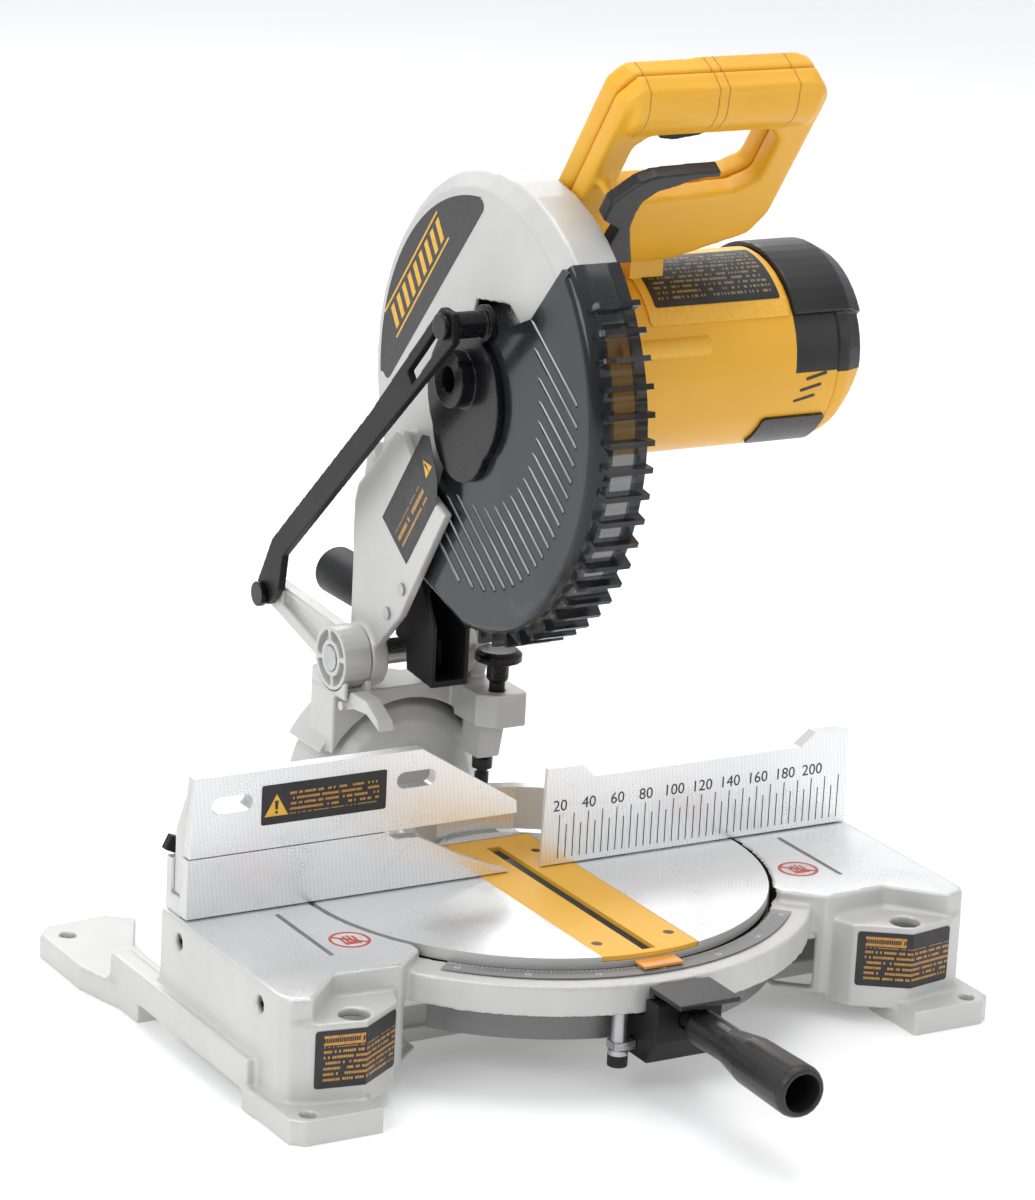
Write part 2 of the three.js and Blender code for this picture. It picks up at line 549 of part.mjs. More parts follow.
function gearCase() {
  const big = rodX(MOTOR, MOTOR_R, 25, MOTOR_START - GAP, 0, 16);
  const small = rodX(ARBOR, 42, 20.4, MOTOR_START - GAP, 0, 14);
  const gearRoom = join(rodX(ARBOR, 25, 27, 60, 0, 12), rodX(MOTOR, 9, 27, 60));
  const post = box(24, 44, 52, 78, MOTOR.z + 40, HANDLE_FOOT.z + 8);
  return cut(join(big, small, post), gearRoom, handleRoom,
    rodX(ARBOR, 14.3, 22.5, 30, 0, 8),
    rodX(ARBOR, 9, 10, 30),
    rodX(MOTOR, 14.3, 40, 60),
    rodY(LOCK.x, LOCK.z, 4.4, 10, 40));
}
piece(head, 'gear_case', gearCase(), PAINT);

function motorHousing() {
  const shell = rodX(MOTOR, MOTOR_R, MOTOR_START, MOTOR_SPLIT, 0, 18);
  const boss = box(82, 105, 56, 80, MOTOR.z + MOTOR_R - 6, HANDLE_FOOT.z + 8);
  // a short rib over each brush holder
  const ridge = (side) => rodX({ y: MOTOR.y + side * 54.5, z: MOTOR.z + 16.7 }, 6.5, 60, 122);
  const hollow = rodX(MOTOR, MOTOR_R - 4, 40, 260, 0, 18);
  const windows = [0, 90, 180, 270].map((a) =>
    alongX(sector(MOTOR.y, MOTOR.z, 24, 48, a + 12, a + 78), 198, 206, 3));
  const web = cut(rodX(MOTOR, MOTOR_R - 3, 200, 204, 14.3, 16), ...windows);
  return join(cut(join(shell, boss, ridge(-1), ridge(1)), hollow, handleRoom), web);
}
piece(head, 'motor_housing', motorHousing(), YELLOW);

// the end cap: a raised hood reaches forward over the housing, and the underside of the
// nose is cut back on a slant
const HOOD_T = 3.6;
const HOOD_REACH = 30;
const NOSE_CUT = MOTOR.z - 6;
function endCap() {
  const at = new THREE.Vector3(MOTOR_SPLIT + GAP, MOTOR.y, MOTOR.z);
  const outside = turned([[0, 0], [MOTOR_R - 0.4, 0], [MOTOR_R - 0.4, 8], [MOTOR_R - 6, 20],
    [MOTOR_R - 18, CAP_T], [0, CAP_T]], at, X, 48);
  const room = turned([[0, -1], [MOTOR_R - 5, -1], [MOTOR_R - 5, 8], [MOTOR_R - 10, 18],
    [MOTOR_R - 20, CAP_T - 4], [0, CAP_T - 4]], at, X, 48);
  const hoodRing = turned([[MOTOR_R + GAP, -HOOD_REACH], [MOTOR_R + HOOD_T, -HOOD_REACH],
    [MOTOR_R + HOOD_T, 9], [MOTOR_R - 2.5, 20.5], [MOTOR_R - 16, CAP_T], [MOTOR_R - 19, CAP_T],
    [MOTOR_R - 8, 17], [MOTOR_R - 4, 1], [MOTOR_R + GAP, 0], [MOTOR_R + GAP, -HOOD_REACH]],
  at, X, 48);
  const hood = hoodRing.intersect(alongX(sector(MOTOR.y, MOTOR.z, 30, 80, 30, 150), 180, 245, 24));
  const slant = (back) => alongY(outline([[234 - back, NOSE_CUT + back], [260, NOSE_CUT + back],
    [260, NOSE_CUT - 74], [209 - back, NOSE_CUT - 74]]), 0, 170);
  return cut(join(outside, hood), slant(0), cut(room, slant(3.5)));
}
piece(head, 'motor_end_cap', endCap(), BLACK);

const stator = rodX(MOTOR, MOTOR_R - 5, 92, 150, 35, 14);
piece(head, 'stator_core', stator, DARK);
piece(head, 'motor_bearing_front', rodX(MOTOR, 14, 40.4, 47.4, 5.4, 8), STEEL);
piece(head, 'motor_bearing_rear', rodX(MOTOR, 14, 199.6, 206, 5.4, 8), STEEL);
piece(head, 'arbor_bearing', rodX(ARBOR, 14, 22.8, 26.8, 8, 8), STEEL);
[1, -1].forEach((side, i) => piece(head, `brush_holder_${i + 1}`,
  box(170, 178, MOTOR.y - 5, MOTOR.y + 5, MOTOR.z + side * 35 - 18, MOTOR.z + side * 35 + 18),
  COPPER));

// ---------- top handle: two moulded halves around the grip ----------
function handleSolid() {
  const shape = outline([[HANDLE_LEFT, 2], [HANDLE_LEFT, 132], [30, 143], [146, 144],
    [157, 140], [HANDLE_RIGHT, 131], [HANDLE_RIGHT, 36], [154, 18], [105, -0.6], [40, -0.6]]);
  const gap = new THREE.Path([[42, 58], [42, 98], [50, 107], [132, 107], [141, 98], [141, 64],
    [128, 56], [60, 52]].map(([u, v]) => new THREE.Vector2(u, v)));
  shape.holes.push(gap);
  return shape;
}


const gripCentre = new THREE.Vector3(0, HANDLE_FOOT.y, HANDLE_FOOT.z)
  .addScaledVector(HANDLE_UP, GRIP_V);
const grip = rodX(gripCentre, GRIP_R, HANDLE_LEFT + 8, HANDLE_RIGHT - 8, 0, 16);
const switchRoom = inHandle(rect(56, 96, 100, 132), -9, 9);
const leverPin = inHandle(disc(30, 74, 4), 12, 35.6, 4);
const wholeHandle = join(inHandle(handleSolid(), -14, 14, 8), grip, leverPin);
const half = (w0, w1) => wholeHandle.intersect(inHandle(rect(0, 200, -20, 200), w0, w1))
  .subtract(switchRoom);
piece(head, 'handle_front', half(0.15, 50), YELLOW);
piece(head, 'handle_rear', half(-30, -0.15), YELLOW);
piece(head, 'trigger_switch', inHandle(rect(62, 90, 118, 130), -8, 8), DARK);

const trigger = body('trigger_group');
piece(trigger, 'trigger', inHandle(outline([[57, 104], [57, 111], [95, 111], [95, 104], [88, 100],
  [72, 97.5], [62, 99]]), -8, 8), BLACK);

const release = body('guard_release_group');
// a thin blade for the thumb, with a stem that runs down beside the guard
const leverPath = [[33, 36], [29, 52], [30, 66], [17, 74], [17, 88], [24, 96.5], [30, 103], [39, 107],
  [62, 108.4], [82, 108.6], [83, 104.6], [71, 103.7], [64, 102.3], [56, 98.4], [45, 95],
  [38, 87.5], [37, 78], [38, 66], [43, 54], [51, 36]];
piece(release, 'guard_release_lever', inHandle(outline(leverPath), 36, 45), BLACK);

// ---------- dust chute ----------
const duct = (x, y0, y1, z0, z1) => box(-x, x, y0, y1, z0, z1);
const funnel = alongX(outline([[104, 159], [104, 198], [126, 232], [152, 232], [152, 180],
  [138, 176], [136, 162]]), -13, 13);
const funnelRoom = alongX(outline([[90, 163], [90, 200], [116, 240], [130, 240], [130, 228],
  [149, 228], [149, 184], [134, 180], [132, 163]]), -10, 10);
piece(head, 'dust_boot', cut(funnel, funnelRoom, duct(9, 140, 155, 187, 204),
  rodX(ARBOR, 136, -20, 20, 0, 12)), BLACK);
const spoutTube = rodY(SPOUT.x, SPOUT.z, SPOUT.r, 184, SPOUT.end, 0, 14);
piece(head, 'dust_spout', cut(join(duct(12, 152.3, 188, 184, 207), spoutTube),
  duct(9, 150, 189, 187, 204), rodY(SPOUT.x, SPOUT.z, SPOUT.bore, 187, SPOUT.end + 1, 0, 14)), BLACK);

[[115, 145], [132, 125]].forEach(([y, z], i) => piece(head, `cheek_rivet_${i + 1}`,
  rodX({ y, z: TABLE + z }, 4, -31.4, -30.3, 0, 6), STEEL));

// ---------- blade and arbor ----------
const arbor = body('arbor_group');
piece(arbor, 'arbor_shaft', rodX(ARBOR, 7.6, -6, 44), STEEL);
piece(arbor, 'inner_flange', rodX(ARBOR, 20, 1.3, 9, 8), STEEL);
piece(arbor, 'outer_flange', rodX(ARBOR, 19, -6.5, -1.3, 8), STEEL);
piece(arbor, 'blade_bolt', join(rodX(ARBOR, 9, -15.5, -8, 0, 3),
  rodX(ARBOR, 13, -8.2, -6.9, 0, 8)), STEEL);

function sawBlade() {
  const teeth = 40;
  const points = [];
  for (let i = 0; i < teeth; i += 1) {
    const at = (i / teeth) * 2 * Math.PI;
    const step = (2 * Math.PI) / teeth;
    points.push([BLADE_R * Math.cos(at), BLADE_R * Math.sin(at)]);
    points.push([(BLADE_R - 1.5) * Math.cos(at + step * 0.3), (BLADE_R - 1.5) * Math.sin(at + step * 0.3)]);
    points.push([(BLADE_R - 9) * Math.cos(at + step * 0.85), (BLADE_R - 9) * Math.sin(at + step * 0.85)]);
  }
  const shape = outline(points.map(([y, z]) => [ARBOR.y + y, ARBOR.z + z]));
  const bore = new THREE.Path();
  bore.absarc(ARBOR.y, ARBOR.z, 8, 0, 2 * Math.PI, true);
  shape.holes.push(bore);
  return alongX(shape, -0.9, 0.9, 8);
}
piece(arbor, 'saw_blade', sawBlade(), STEEL);

function gearWheel(centre, teeth, x0, x1, bore, phase) {
  const points = [];
  const pitch = (GEAR_MODULE * teeth) / 2;
  for (let i = 0; i < teeth; i += 1) {
    const at = ((i + phase) / teeth) * 2 * Math.PI;
    const step = (2 * Math.PI) / teeth;
    [[-0.35, -1.2], [-0.13, 0.8], [0.13, 0.8], [0.35, -1.2]].forEach(([turn, rise]) => {
      const radius = pitch + rise * GEAR_MODULE;
      points.push([centre.y + radius * Math.cos(at + turn * step),
        centre.z + radius * Math.sin(at + turn * step)]);
    });
  }
  const shape = outline(points);
  if (bore > 0) {
    const hole = new THREE.Path();
    hole.absarc(centre.y, centre.z, bore, 0, 2 * Math.PI, true);
    shape.holes.push(hole);
  }
  return alongX(shape, x0, x1, 8);
}
const meshAngle = Math.atan2(MOTOR.z - ARBOR.z, MOTOR.y - ARBOR.y) / (2 * Math.PI);
piece(arbor, 'drive_gear', gearWheel(ARBOR, GEAR_TEETH, 30, 38, 8,
  meshAngle * GEAR_TEETH), STEEL);

const armature = body('armature_group');
piece(armature, 'armature', join(rodX(MOTOR, 5, 38.4, 210), rodX(MOTOR, 34, 92, 150, 0, 12),
  rodX(MOTOR, 14, 168, 186),
  gearWheel(MOTOR, PINION_TEETH, 30, 38.5, 0, (meshAngle + 0.5) * PINION_TEETH + 0.5)), COPPER);
piece(armature, 'cooling_fan', join(rodX(MOTOR, 48, 60, 62.5, 5.3, 12),
  ...Array.from({ length: 8 }, (_, i) => {
    const a = (i / 8) * 2 * Math.PI;
    const c = Math.cos(a);
    const s = Math.sin(a);
    const corner = (r, t) => [MOTOR.y + r * c - t * s, MOTOR.z + r * s + t * c];
    return alongX(outline([corner(20, -1), corner(47, -1), corner(47, 1), corner(20, 1)]),
      62, 72);
  })), BLACK);

// ---------- lower guard ----------
const lower = body('lower_guard_group');
function lowerGuard() {
  const face = new THREE.Shape();
  const start = polar(ARBOR, LOWER_GUARD_R, 135);
  face.moveTo(...start);
  face.absarc(ARBOR.y, ARBOR.z, LOWER_GUARD_R, rad(135), rad(268), false);
  face.lineTo(...polar(ARBOR, 136, 295));
  face.lineTo(...polar(ARBOR, 40, 300));
  face.absarc(ARBOR.y, ARBOR.z, 40, rad(-60), rad(82), false);
  face.lineTo(...polar(ARBOR, 65, 129));
  face.lineTo(...polar(ARBOR, 90, 137));
  face.closePath();
  const wall = alongX(face, GUARD_LEFT, GUARD_LEFT + 2.5, 14);
  const rim = alongX(sector(ARBOR.y, ARBOR.z, LOWER_GUARD_R - 3.4, LOWER_GUARD_R, 135, 268),
    GUARD_LEFT, GUARD_RIGHT, 14);
  const chord = alongX(outline([polar(ARBOR, LOWER_GUARD_R - 3.4, 267.5),
    polar(ARBOR, LOWER_GUARD_R, 267.5), polar(ARBOR, 136, 295), polar(ARBOR, 133, 295)]),
  GUARD_LEFT, GUARD_RIGHT);
  const ribs = Array.from({ length: RIBS }, (_, i) => {
    const angle = 146 + i * RIB_STEP;
    return alongX(outline([polar(ARBOR, LOWER_GUARD_R - 1.4, angle),
      polar(ARBOR, RIB_R, angle), polar(ARBOR, RIB_R, angle + 1.3),
      polar(ARBOR, LOWER_GUARD_R - 1.4, angle + 1.3)]), GUARD_LEFT + 7, GUARD_RIGHT);
  });
  const bore = rodX(ARBOR, 28, -30, -10, 0, 16);
  return cut(join(wall, rim, chord, ...ribs), bore);
}
piece(lower, 'lower_guard', lowerGuard(), SMOKE);

function guardBracket() {
  const lobe = polar(ARBOR, 20, 276);
  const plate = join(rodX(ARBOR, 42, -26.5, -21.9, 0, 14),
    alongX(disc(lobe[0], lobe[1], 32), -26.5, -21.9, 14),
    alongX(disc(LINK_TOP.y, LINK_TOP.z, 11), -26.5, -21.9, 10));
  const knob = rodX({ y: ARBOR.y + 1, z: ARBOR.z + 11 }, 17, -36, -26, 8, 14);
  const pinBoss = rodX(LINK_TOP, 8, -45.4, -26, 0, 10);
  return join(plate, knob, pinBoss);
}
piece(lower, 'guard_bracket', guardBracket(), BLACK);
piece(lower, 'link_top_pin', rodX(LINK_TOP, 8, -55, -51.5, 0, 8), BLACK);

// ---------- guard link ----------
const link = body('guard_link_group');
function guardLink() {
  const bar = outline([[LINK_TOP.y - 8, LINK_TOP.z + 9], [LINK_TOP.y + 6, LINK_TOP.z + 10],
    [127, TABLE + 254], [217, TABLE + 171], [247, TABLE + 143], [LINK_FOOT.y + 9, LINK_FOOT.z + 4],
    [LINK_FOOT.y + 5, LINK_FOOT.z - 8], [LINK_FOOT.y - 8, LINK_FOOT.z - 5],
    [LINK_FOOT.y - 21, LINK_FOOT.z + 8], [232, TABLE + 136], [119, TABLE + 239],
    [LINK_TOP.y - 10, LINK_TOP.z - 8]]);
  const along = new THREE.Vector2(LINK_FOOT.y - LINK_TOP.y, LINK_FOOT.z - LINK_TOP.z).normalize();
  const side = new THREE.Vector2(-along.y, along.x);
  const spot = (a, s) => [LINK_TOP.y + along.x * a + side.x * s, LINK_TOP.z + along.y * a + side.y * s];
  const slot = alongX(outline([spot(-4, -4.6), spot(56, -4.6), spot(56, 4.6), spot(-4, 4.6)]),
    -52, -45);
  return cut(alongX(bar, -51, -46), slot, rodX(LINK_FOOT, 3.8, -60, -40, 0, 8));
}
piece(link, 'guard_link', guardLink(), BLACK);

// ---------- spindle lock ----------
const spindle = body('spindle_lock_group');
piece(spindle, 'spindle_lock_button', join(rodY(LOCK.x, LOCK.z, 4, 13, 33.5),
  rodY(LOCK.x, LOCK.z, 7, 6, 13.5)), BLACK);

export default saw;
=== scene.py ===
import json
import math

import bmesh
import bpy
from mathutils import Matrix, Vector

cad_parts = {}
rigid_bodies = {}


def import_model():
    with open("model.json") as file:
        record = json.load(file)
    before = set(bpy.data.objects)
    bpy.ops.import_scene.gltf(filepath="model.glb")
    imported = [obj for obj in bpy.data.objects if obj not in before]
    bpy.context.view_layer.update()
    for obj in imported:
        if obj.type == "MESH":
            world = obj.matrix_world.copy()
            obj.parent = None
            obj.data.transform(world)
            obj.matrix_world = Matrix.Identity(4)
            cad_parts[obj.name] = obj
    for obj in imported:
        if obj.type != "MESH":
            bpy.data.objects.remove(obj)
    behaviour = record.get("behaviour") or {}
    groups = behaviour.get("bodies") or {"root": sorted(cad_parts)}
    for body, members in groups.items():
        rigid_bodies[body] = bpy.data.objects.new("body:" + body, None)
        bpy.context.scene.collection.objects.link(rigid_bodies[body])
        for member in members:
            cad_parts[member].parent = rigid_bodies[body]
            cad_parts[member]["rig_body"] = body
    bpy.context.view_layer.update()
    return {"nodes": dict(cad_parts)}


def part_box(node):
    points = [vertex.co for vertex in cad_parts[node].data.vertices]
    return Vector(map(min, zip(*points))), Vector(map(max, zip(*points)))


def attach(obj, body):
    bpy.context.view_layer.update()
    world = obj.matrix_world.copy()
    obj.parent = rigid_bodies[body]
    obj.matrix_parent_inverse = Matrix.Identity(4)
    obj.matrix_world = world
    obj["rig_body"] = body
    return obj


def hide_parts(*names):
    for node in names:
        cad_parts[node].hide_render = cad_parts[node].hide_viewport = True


# Compound miter saw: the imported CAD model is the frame, and this script adds its looks.
# +X is to the operator's right, +Y away from the operator and +Z up. The scene is in metres, and
# sizes and places here are in millimetres, turned into metres by MM.

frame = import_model()

MM = 0.001
NODES = frame["nodes"]

# ---------- driving dimensions ----------
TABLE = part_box("kerf_plate")[1].z / MM          # height of the table top
ARBOR = Vector((0, 60, TABLE + 278))
MOTOR = Vector((0, 84, TABLE + 288))
MOTOR_R = 60
OPENING_R = 145.6                               # round opening in the base
WALL_BAND = 2.5                                 # faces this near to that radius are its wall
WALL_FOOT = 20                                  # height above which the wall gets painted shade
WING_START = 115                                # the milled tops of the wings start this far out
RIM_DEPTH = 7                                   # height of the turntable's upper rim, kept in casting paint above the painted shade
SHROUD_START = 184                              # black shroud on the motor, from here out
GUARD_FACE = -21.5                              # left face of the moving guard
GUARD_RIM = (134, 142)                          # its rim lies between these radii
GUARD_EDGE = 135.5                              # its corner is rounded from this radius out
UPPER_GUARD_FACE = -17                          # left face of the upper guard
CHEEK_FACE = -30                                # left face of the cheek
FENCE_FACE = 0                                  # front face of both fences
HANDLE_FOOT = Vector((0, 62.5, TABLE + 360.6))
HANDLE_UP = Vector((0, -0.565, 0.825))
HANDLE_NORMAL = Vector((0, -0.825, -0.565))
WING_FRONT = [Vector((155.5, -123.2, 0)), Vector((183, -141.2, 0)), Vector((212.5, -136.4, 0))]
HANDLE_AXIS_Z = 50                              # axis of the miter handle above the bench
WINDOW = (-8, 8)                                # clear strip in the rim of the moving guard
PRINT_T = 0.12                                  # thickness of printed marks
LABEL_T = 0.3                                   # thickness of a label
DECAL_T = 0.2                                   # thickness of the decal on the upper guard
STICKER_T = 0.15                                # thickness of the round stickers
SINK = 0.02                                     # a flat mark starts this far under its face
MOTOR_SEAM = MOTOR.z - 4                        # black above, yellow below, at the motor's end
NOSE_SEAM = MOTOR.z - 5                         # the same on the end cap
POST_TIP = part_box("arm_post")[0].z / MM + 7     # black foot of the silver post
WING_LABEL = (24, 34)                           # foot and height of the labels on the wings
FENCE_LABEL = (128, 24)                         # foot and height of the label on the left fence
FENCE_LABEL_ENDS = (-180, -99)
CHEEK_LABEL_RISE = 38                           # width of the cheek label
MOTOR_BED = (84, 98)                            # start and length of the bed of the motor label
MOTOR_LABEL = (90, 88)                          # start and length of the motor label
MOTOR_FOOT = (168, 45)                          # start and length of the motor's black pad
BED_T = 1.0                                     # thickness of the bed
BED_SINK = 0.1                                  # bed and pad start this far under the motor's face

ALONG_X, ALONG_Y, UP_Z = Vector((1, 0, 0)), Vector((0, 1, 0)), Vector((0, 0, 1))


# ---------- materials ----------
class Shade:
    """A node material under construction. Each call adds one node and returns its output."""

    def __init__(self, name):
        self.material = bpy.data.materials.new(name)
        self.material.use_nodes = True
        self.tree = self.material.node_tree
        self.surface = self.tree.nodes["Principled BSDF"]
        coordinates = self.tree.nodes.new("ShaderNodeTexCoord")
        self.place = coordinates.outputs["Object"]
        self.uv = coordinates.outputs["UV"]

    def feed(self, socket, value):
        if isinstance(value, bpy.types.NodeSocket):
            self.tree.links.new(value, socket)
        else:
            socket.default_value = value

    def math(self, operation, a, b=0.0):
        node = self.tree.nodes.new("ShaderNodeMath")
        node.operation = operation
        self.feed(node.inputs[0], a)
        self.feed(node.inputs[1], b)
        return node.outputs[0]

    def split(self, vector):
        node = self.tree.nodes.new("ShaderNodeSeparateXYZ")
        self.feed(node.inputs[0], vector)
        return node.outputs

    def stretched(self, vector, scale):
        node = self.tree.nodes.new("ShaderNodeVectorMath")
        node.operation = "MULTIPLY"
        self.feed(node.inputs[0], vector)
        node.inputs[1].default_value = scale
        return node.outputs[0]

    def noise(self, size, detail=2.0, stretch=(1, 1, 1)):
        """Noise with features about size millimetres across, longer where stretch is smaller."""
        node = self.tree.nodes.new("ShaderNodeTexNoise")
        self.feed(node.inputs["Vector"], self.stretched(self.place, stretch))
        node.inputs["Scale"].default_value = 1 / (size * MM)
        node.inputs["Detail"].default_value = detail
        return node.outputs["Fac"]

    def cells(self, size):
        node = self.tree.nodes.new("ShaderNodeTexVoronoi")
        self.feed(node.inputs["Vector"], self.place)
        node.inputs["Scale"].default_value = 1 / (size * MM)
        return node.outputs["Distance"]

    def remap(self, value, low, high, to_low, to_high):
        node = self.tree.nodes.new("ShaderNodeMapRange")
        self.feed(node.inputs["Value"], value)
        for key, number in (("From Min", low), ("From Max", high),
                            ("To Min", to_low), ("To Max", to_high)):
            node.inputs[key].default_value = number
        return node.outputs["Result"]

    def mix(self, factor, a, b):
        node = self.tree.nodes.new("ShaderNodeMix")
        node.data_type = "RGBA"
        self.feed(node.inputs["Factor"], factor)
        for socket, value in zip([s for s in node.inputs if s.type == "RGBA"], (a, b)):
            self.feed(socket, (*value, 1) if isinstance(value, tuple) else value)
        return [s for s in node.outputs if s.type == "RGBA"][0]

    def bump(self, height, depth, under=None):
        """Raises the surface by up to depth millimetres."""
        node = self.tree.nodes.new("ShaderNodeBump")
        node.inputs["Distance"].default_value = depth * MM
        self.feed(node.inputs["Height"], height)
        if under is not None:
            self.feed(node.inputs["Normal"], under)
        return node.outputs[0]

    def edges(self):
        node = self.tree.nodes.new("ShaderNodeNewGeometry")
        return node.outputs["Pointiness"]

    def set(self, **values):
        for key, value in values.items():
            socket = self.surface.inputs[key.replace("_", " ")]
            self.feed(socket, (*value, 1) if isinstance(value, tuple) else value)
        return self.material


def moulded(name, colour, deep, rough=(0.38, 0.52), grain=0.35, depth=0.03, worn=None, **extra):
    """Moulded plastic: slow colour drift, fine leather-like grain, paler rubbed edges."""
    s = Shade(name)
    drift = s.noise(45, 3)
    fine = s.noise(grain, 2)
    tint = s.mix(s.remap(drift, 0.35, 0.65, 0, 1), deep, colour)
    if worn:
        rub = s.remap(s.edges(), 0.53, 0.62, 0, 0.55)
        patchy = s.remap(s.noise(2.5, 4), 0.35, 0.7, 0.2, 1)
        tint = s.mix(s.math("MULTIPLY", rub, patchy), tint, worn)
    s.set(Base_Color=tint,
          Roughness=s.remap(s.math("ADD", fine, drift), 0.75, 1.25, *rough),
          Normal=s.bump(fine, depth), **extra)
    return s.material


def seamed(name, seams, low):
    """Handle plastic with parting lines at these places along X, above low on the handle."""
    s = Shade(name)
    x, y, z = s.split(s.place)
    ahead = s.math("SUBTRACT", y, HANDLE_FOOT.y * MM)
    above = s.math("SUBTRACT", z, HANDLE_FOOT.z * MM)
    lift = s.math("ADD", s.math("MULTIPLY", ahead, HANDLE_UP.y),
                  s.math("MULTIPLY", above, HANDLE_UP.z))
    lines = 0.0
    for seam in seams:
        away = s.math("ABSOLUTE", s.math("SUBTRACT", x, seam * MM))
        lines = s.math("ADD", lines, s.remap(away, 0.1 * MM, 0.45 * MM, 1, 0))
    lines = s.math("MULTIPLY", lines, s.math("GREATER_THAN", lift, low * MM))
    drift, fine = s.noise(45, 3), s.noise(0.4, 2)
    tint = s.mix(s.remap(drift, 0.35, 0.65, 0, 1), (0.81, 0.41, 0.016), (0.85, 0.445, 0.02))
    tint = s.mix(s.remap(s.edges(), 0.52, 0.6, 0, 0.4), tint, (0.95, 0.6, 0.12))
    tint = s.mix(s.math("MULTIPLY", lines, 0.6), tint, (0.34, 0.14, 0.01))
    groove = s.bump(s.math("MULTIPLY", lines, -1.0), 0.5)
    s.set(Base_Color=tint, Roughness=s.remap(s.math("ADD", fine, drift), 0.75, 1.25, 0.34, 0.5),
          Normal=s.bump(fine, 0.025, groove), Coat_Weight=0.12, Coat_Roughness=0.3)
    return s.material


def cast_paint(name, colour, deep, metallic=0.25):
    """Painted die casting: orange peel, pale metallic fleck, edges rubbed brighter."""
    s = Shade(name)
    drift = s.noise(60, 4)
    fleck = s.remap(s.cells(0.5), 0.1, 0.6, 0, 1)
    tint = s.mix(s.remap(drift, 0.35, 0.65, 0, 1), deep, colour)
    bright = tuple(min(1, c * 1.1) for c in colour)
    tint = s.mix(s.math("MULTIPLY", fleck, 0.25), tint, bright)
    tint = s.mix(s.remap(s.edges(), 0.52, 0.6, 0, 0.5), tint, (0.86, 0.86, 0.85))
    peel = s.bump(s.noise(1.6, 3), 0.05)
    s.set(Base_Color=tint, Metallic=metallic,
          Roughness=s.remap(s.math("ADD", s.noise(0.8, 2), drift), 0.7, 1.3, 0.34, 0.5),
          Normal=s.bump(s.noise(0.45, 2), 0.02, peel))
    return s.material


def machined(name, pitch, rings=False, lean=0.12, colour=(0.90, 0.905, 0.91)):
    """Milled or turned aluminium: fine parallel or circular tool marks."""
    s = Shade(name)
    x, y, z = s.split(s.place)
    if rings:
        along = s.math("SQRT", s.math("ADD", s.math("MULTIPLY", x, x), s.math("MULTIPLY", y, y)))
    else:
        along = s.math("ADD", x, s.math("MULTIPLY", z, lean))
    wander = s.math("MULTIPLY", s.noise(25, 2), 0.6)
    turns = s.math("ADD", s.math("MULTIPLY", along, 1 / (pitch * MM)), wander)
    wave = s.math("SINE", s.math("MULTIPLY", turns, 2 * math.pi))
    fine = s.math("SINE", s.math("MULTIPLY", along, 2 * math.pi / (pitch * MM / 4.3)))
    marks = s.math("ADD", s.math("MULTIPLY", wave, 0.7), s.math("MULTIPLY", fine, 0.3))
    drift = s.noise(35, 3)
    shade = s.remap(marks, -1, 1, 0, 1)
    tint = s.mix(shade, tuple(c * 0.86 for c in colour), colour)
    tint = s.mix(s.remap(drift, 0.3, 0.7, 0, 0.25), tint, (0.93, 0.94, 0.95))
    s.set(Base_Color=tint, Metallic=0.72,
          Roughness=s.remap(s.math("ADD", drift, s.noise(0.6, 2)), 0.7, 1.3, 0.24, 0.4),
          Normal=s.bump(marks, 0.012))
    return s.material


def turned_steel(name, colour, rough=(0.22, 0.4), stretch=(0.08, 1, 1)):
    """Ground or turned steel, with drawn-out fine scratches."""
    s = Shade(name)
    scratch = s.noise(0.5, 4, stretch)
    stain = s.noise(18, 3)
    tint = s.mix(s.remap(stain, 0.3, 0.7, 0, 1), tuple(c * 0.8 for c in colour), colour)
    s.set(Base_Color=tint, Metallic=0.9,
          Roughness=s.remap(scratch, 0.3, 0.7, *rough), Normal=s.bump(scratch, 0.01))
    return s.material


def wound_copper(name):
    """Enamelled windings: round wires side by side."""
    s = Shade(name)
    _, y, z = s.split(s.place)
    wires = s.math("SINE", s.math("MULTIPLY", s.math("ADD", y, z), 2 * math.pi / (1.1 * MM)))
    tint = s.mix(s.remap(s.noise(9, 3), 0.3, 0.7, 0, 1), (0.5, 0.2, 0.08), (0.72, 0.36, 0.16))
    s.set(Base_Color=tint, Metallic=0.85, Roughness=s.remap(s.noise(2), 0.3, 0.7, 0.25, 0.45),
          Normal=s.bump(wires, 0.3))
    return s.material


def smoked(name, alpha):
    """Smoked polycarbonate: flow marks from moulding, and fine rubbing scratches."""
    s = Shade(name)
    flow = s.noise(30, 3, (1, 1, 0.4))
    scuff = s.noise(0.5, 3, (1, 0.1, 1))
    tint = s.mix(s.remap(flow, 0.3, 0.7, 0, 1), (0.009, 0.010, 0.012), (0.024, 0.026, 0.030))
    s.set(Base_Color=tint, Roughness=s.remap(s.math("ADD", flow, scuff), 0.7, 1.3, 0.1, 0.24),
          Normal=s.bump(scuff, 0.004), Alpha=alpha, Specular_IOR_Level=0.35, Coat_Weight=0.15,
          Coat_Roughness=0.06)
    return s.material


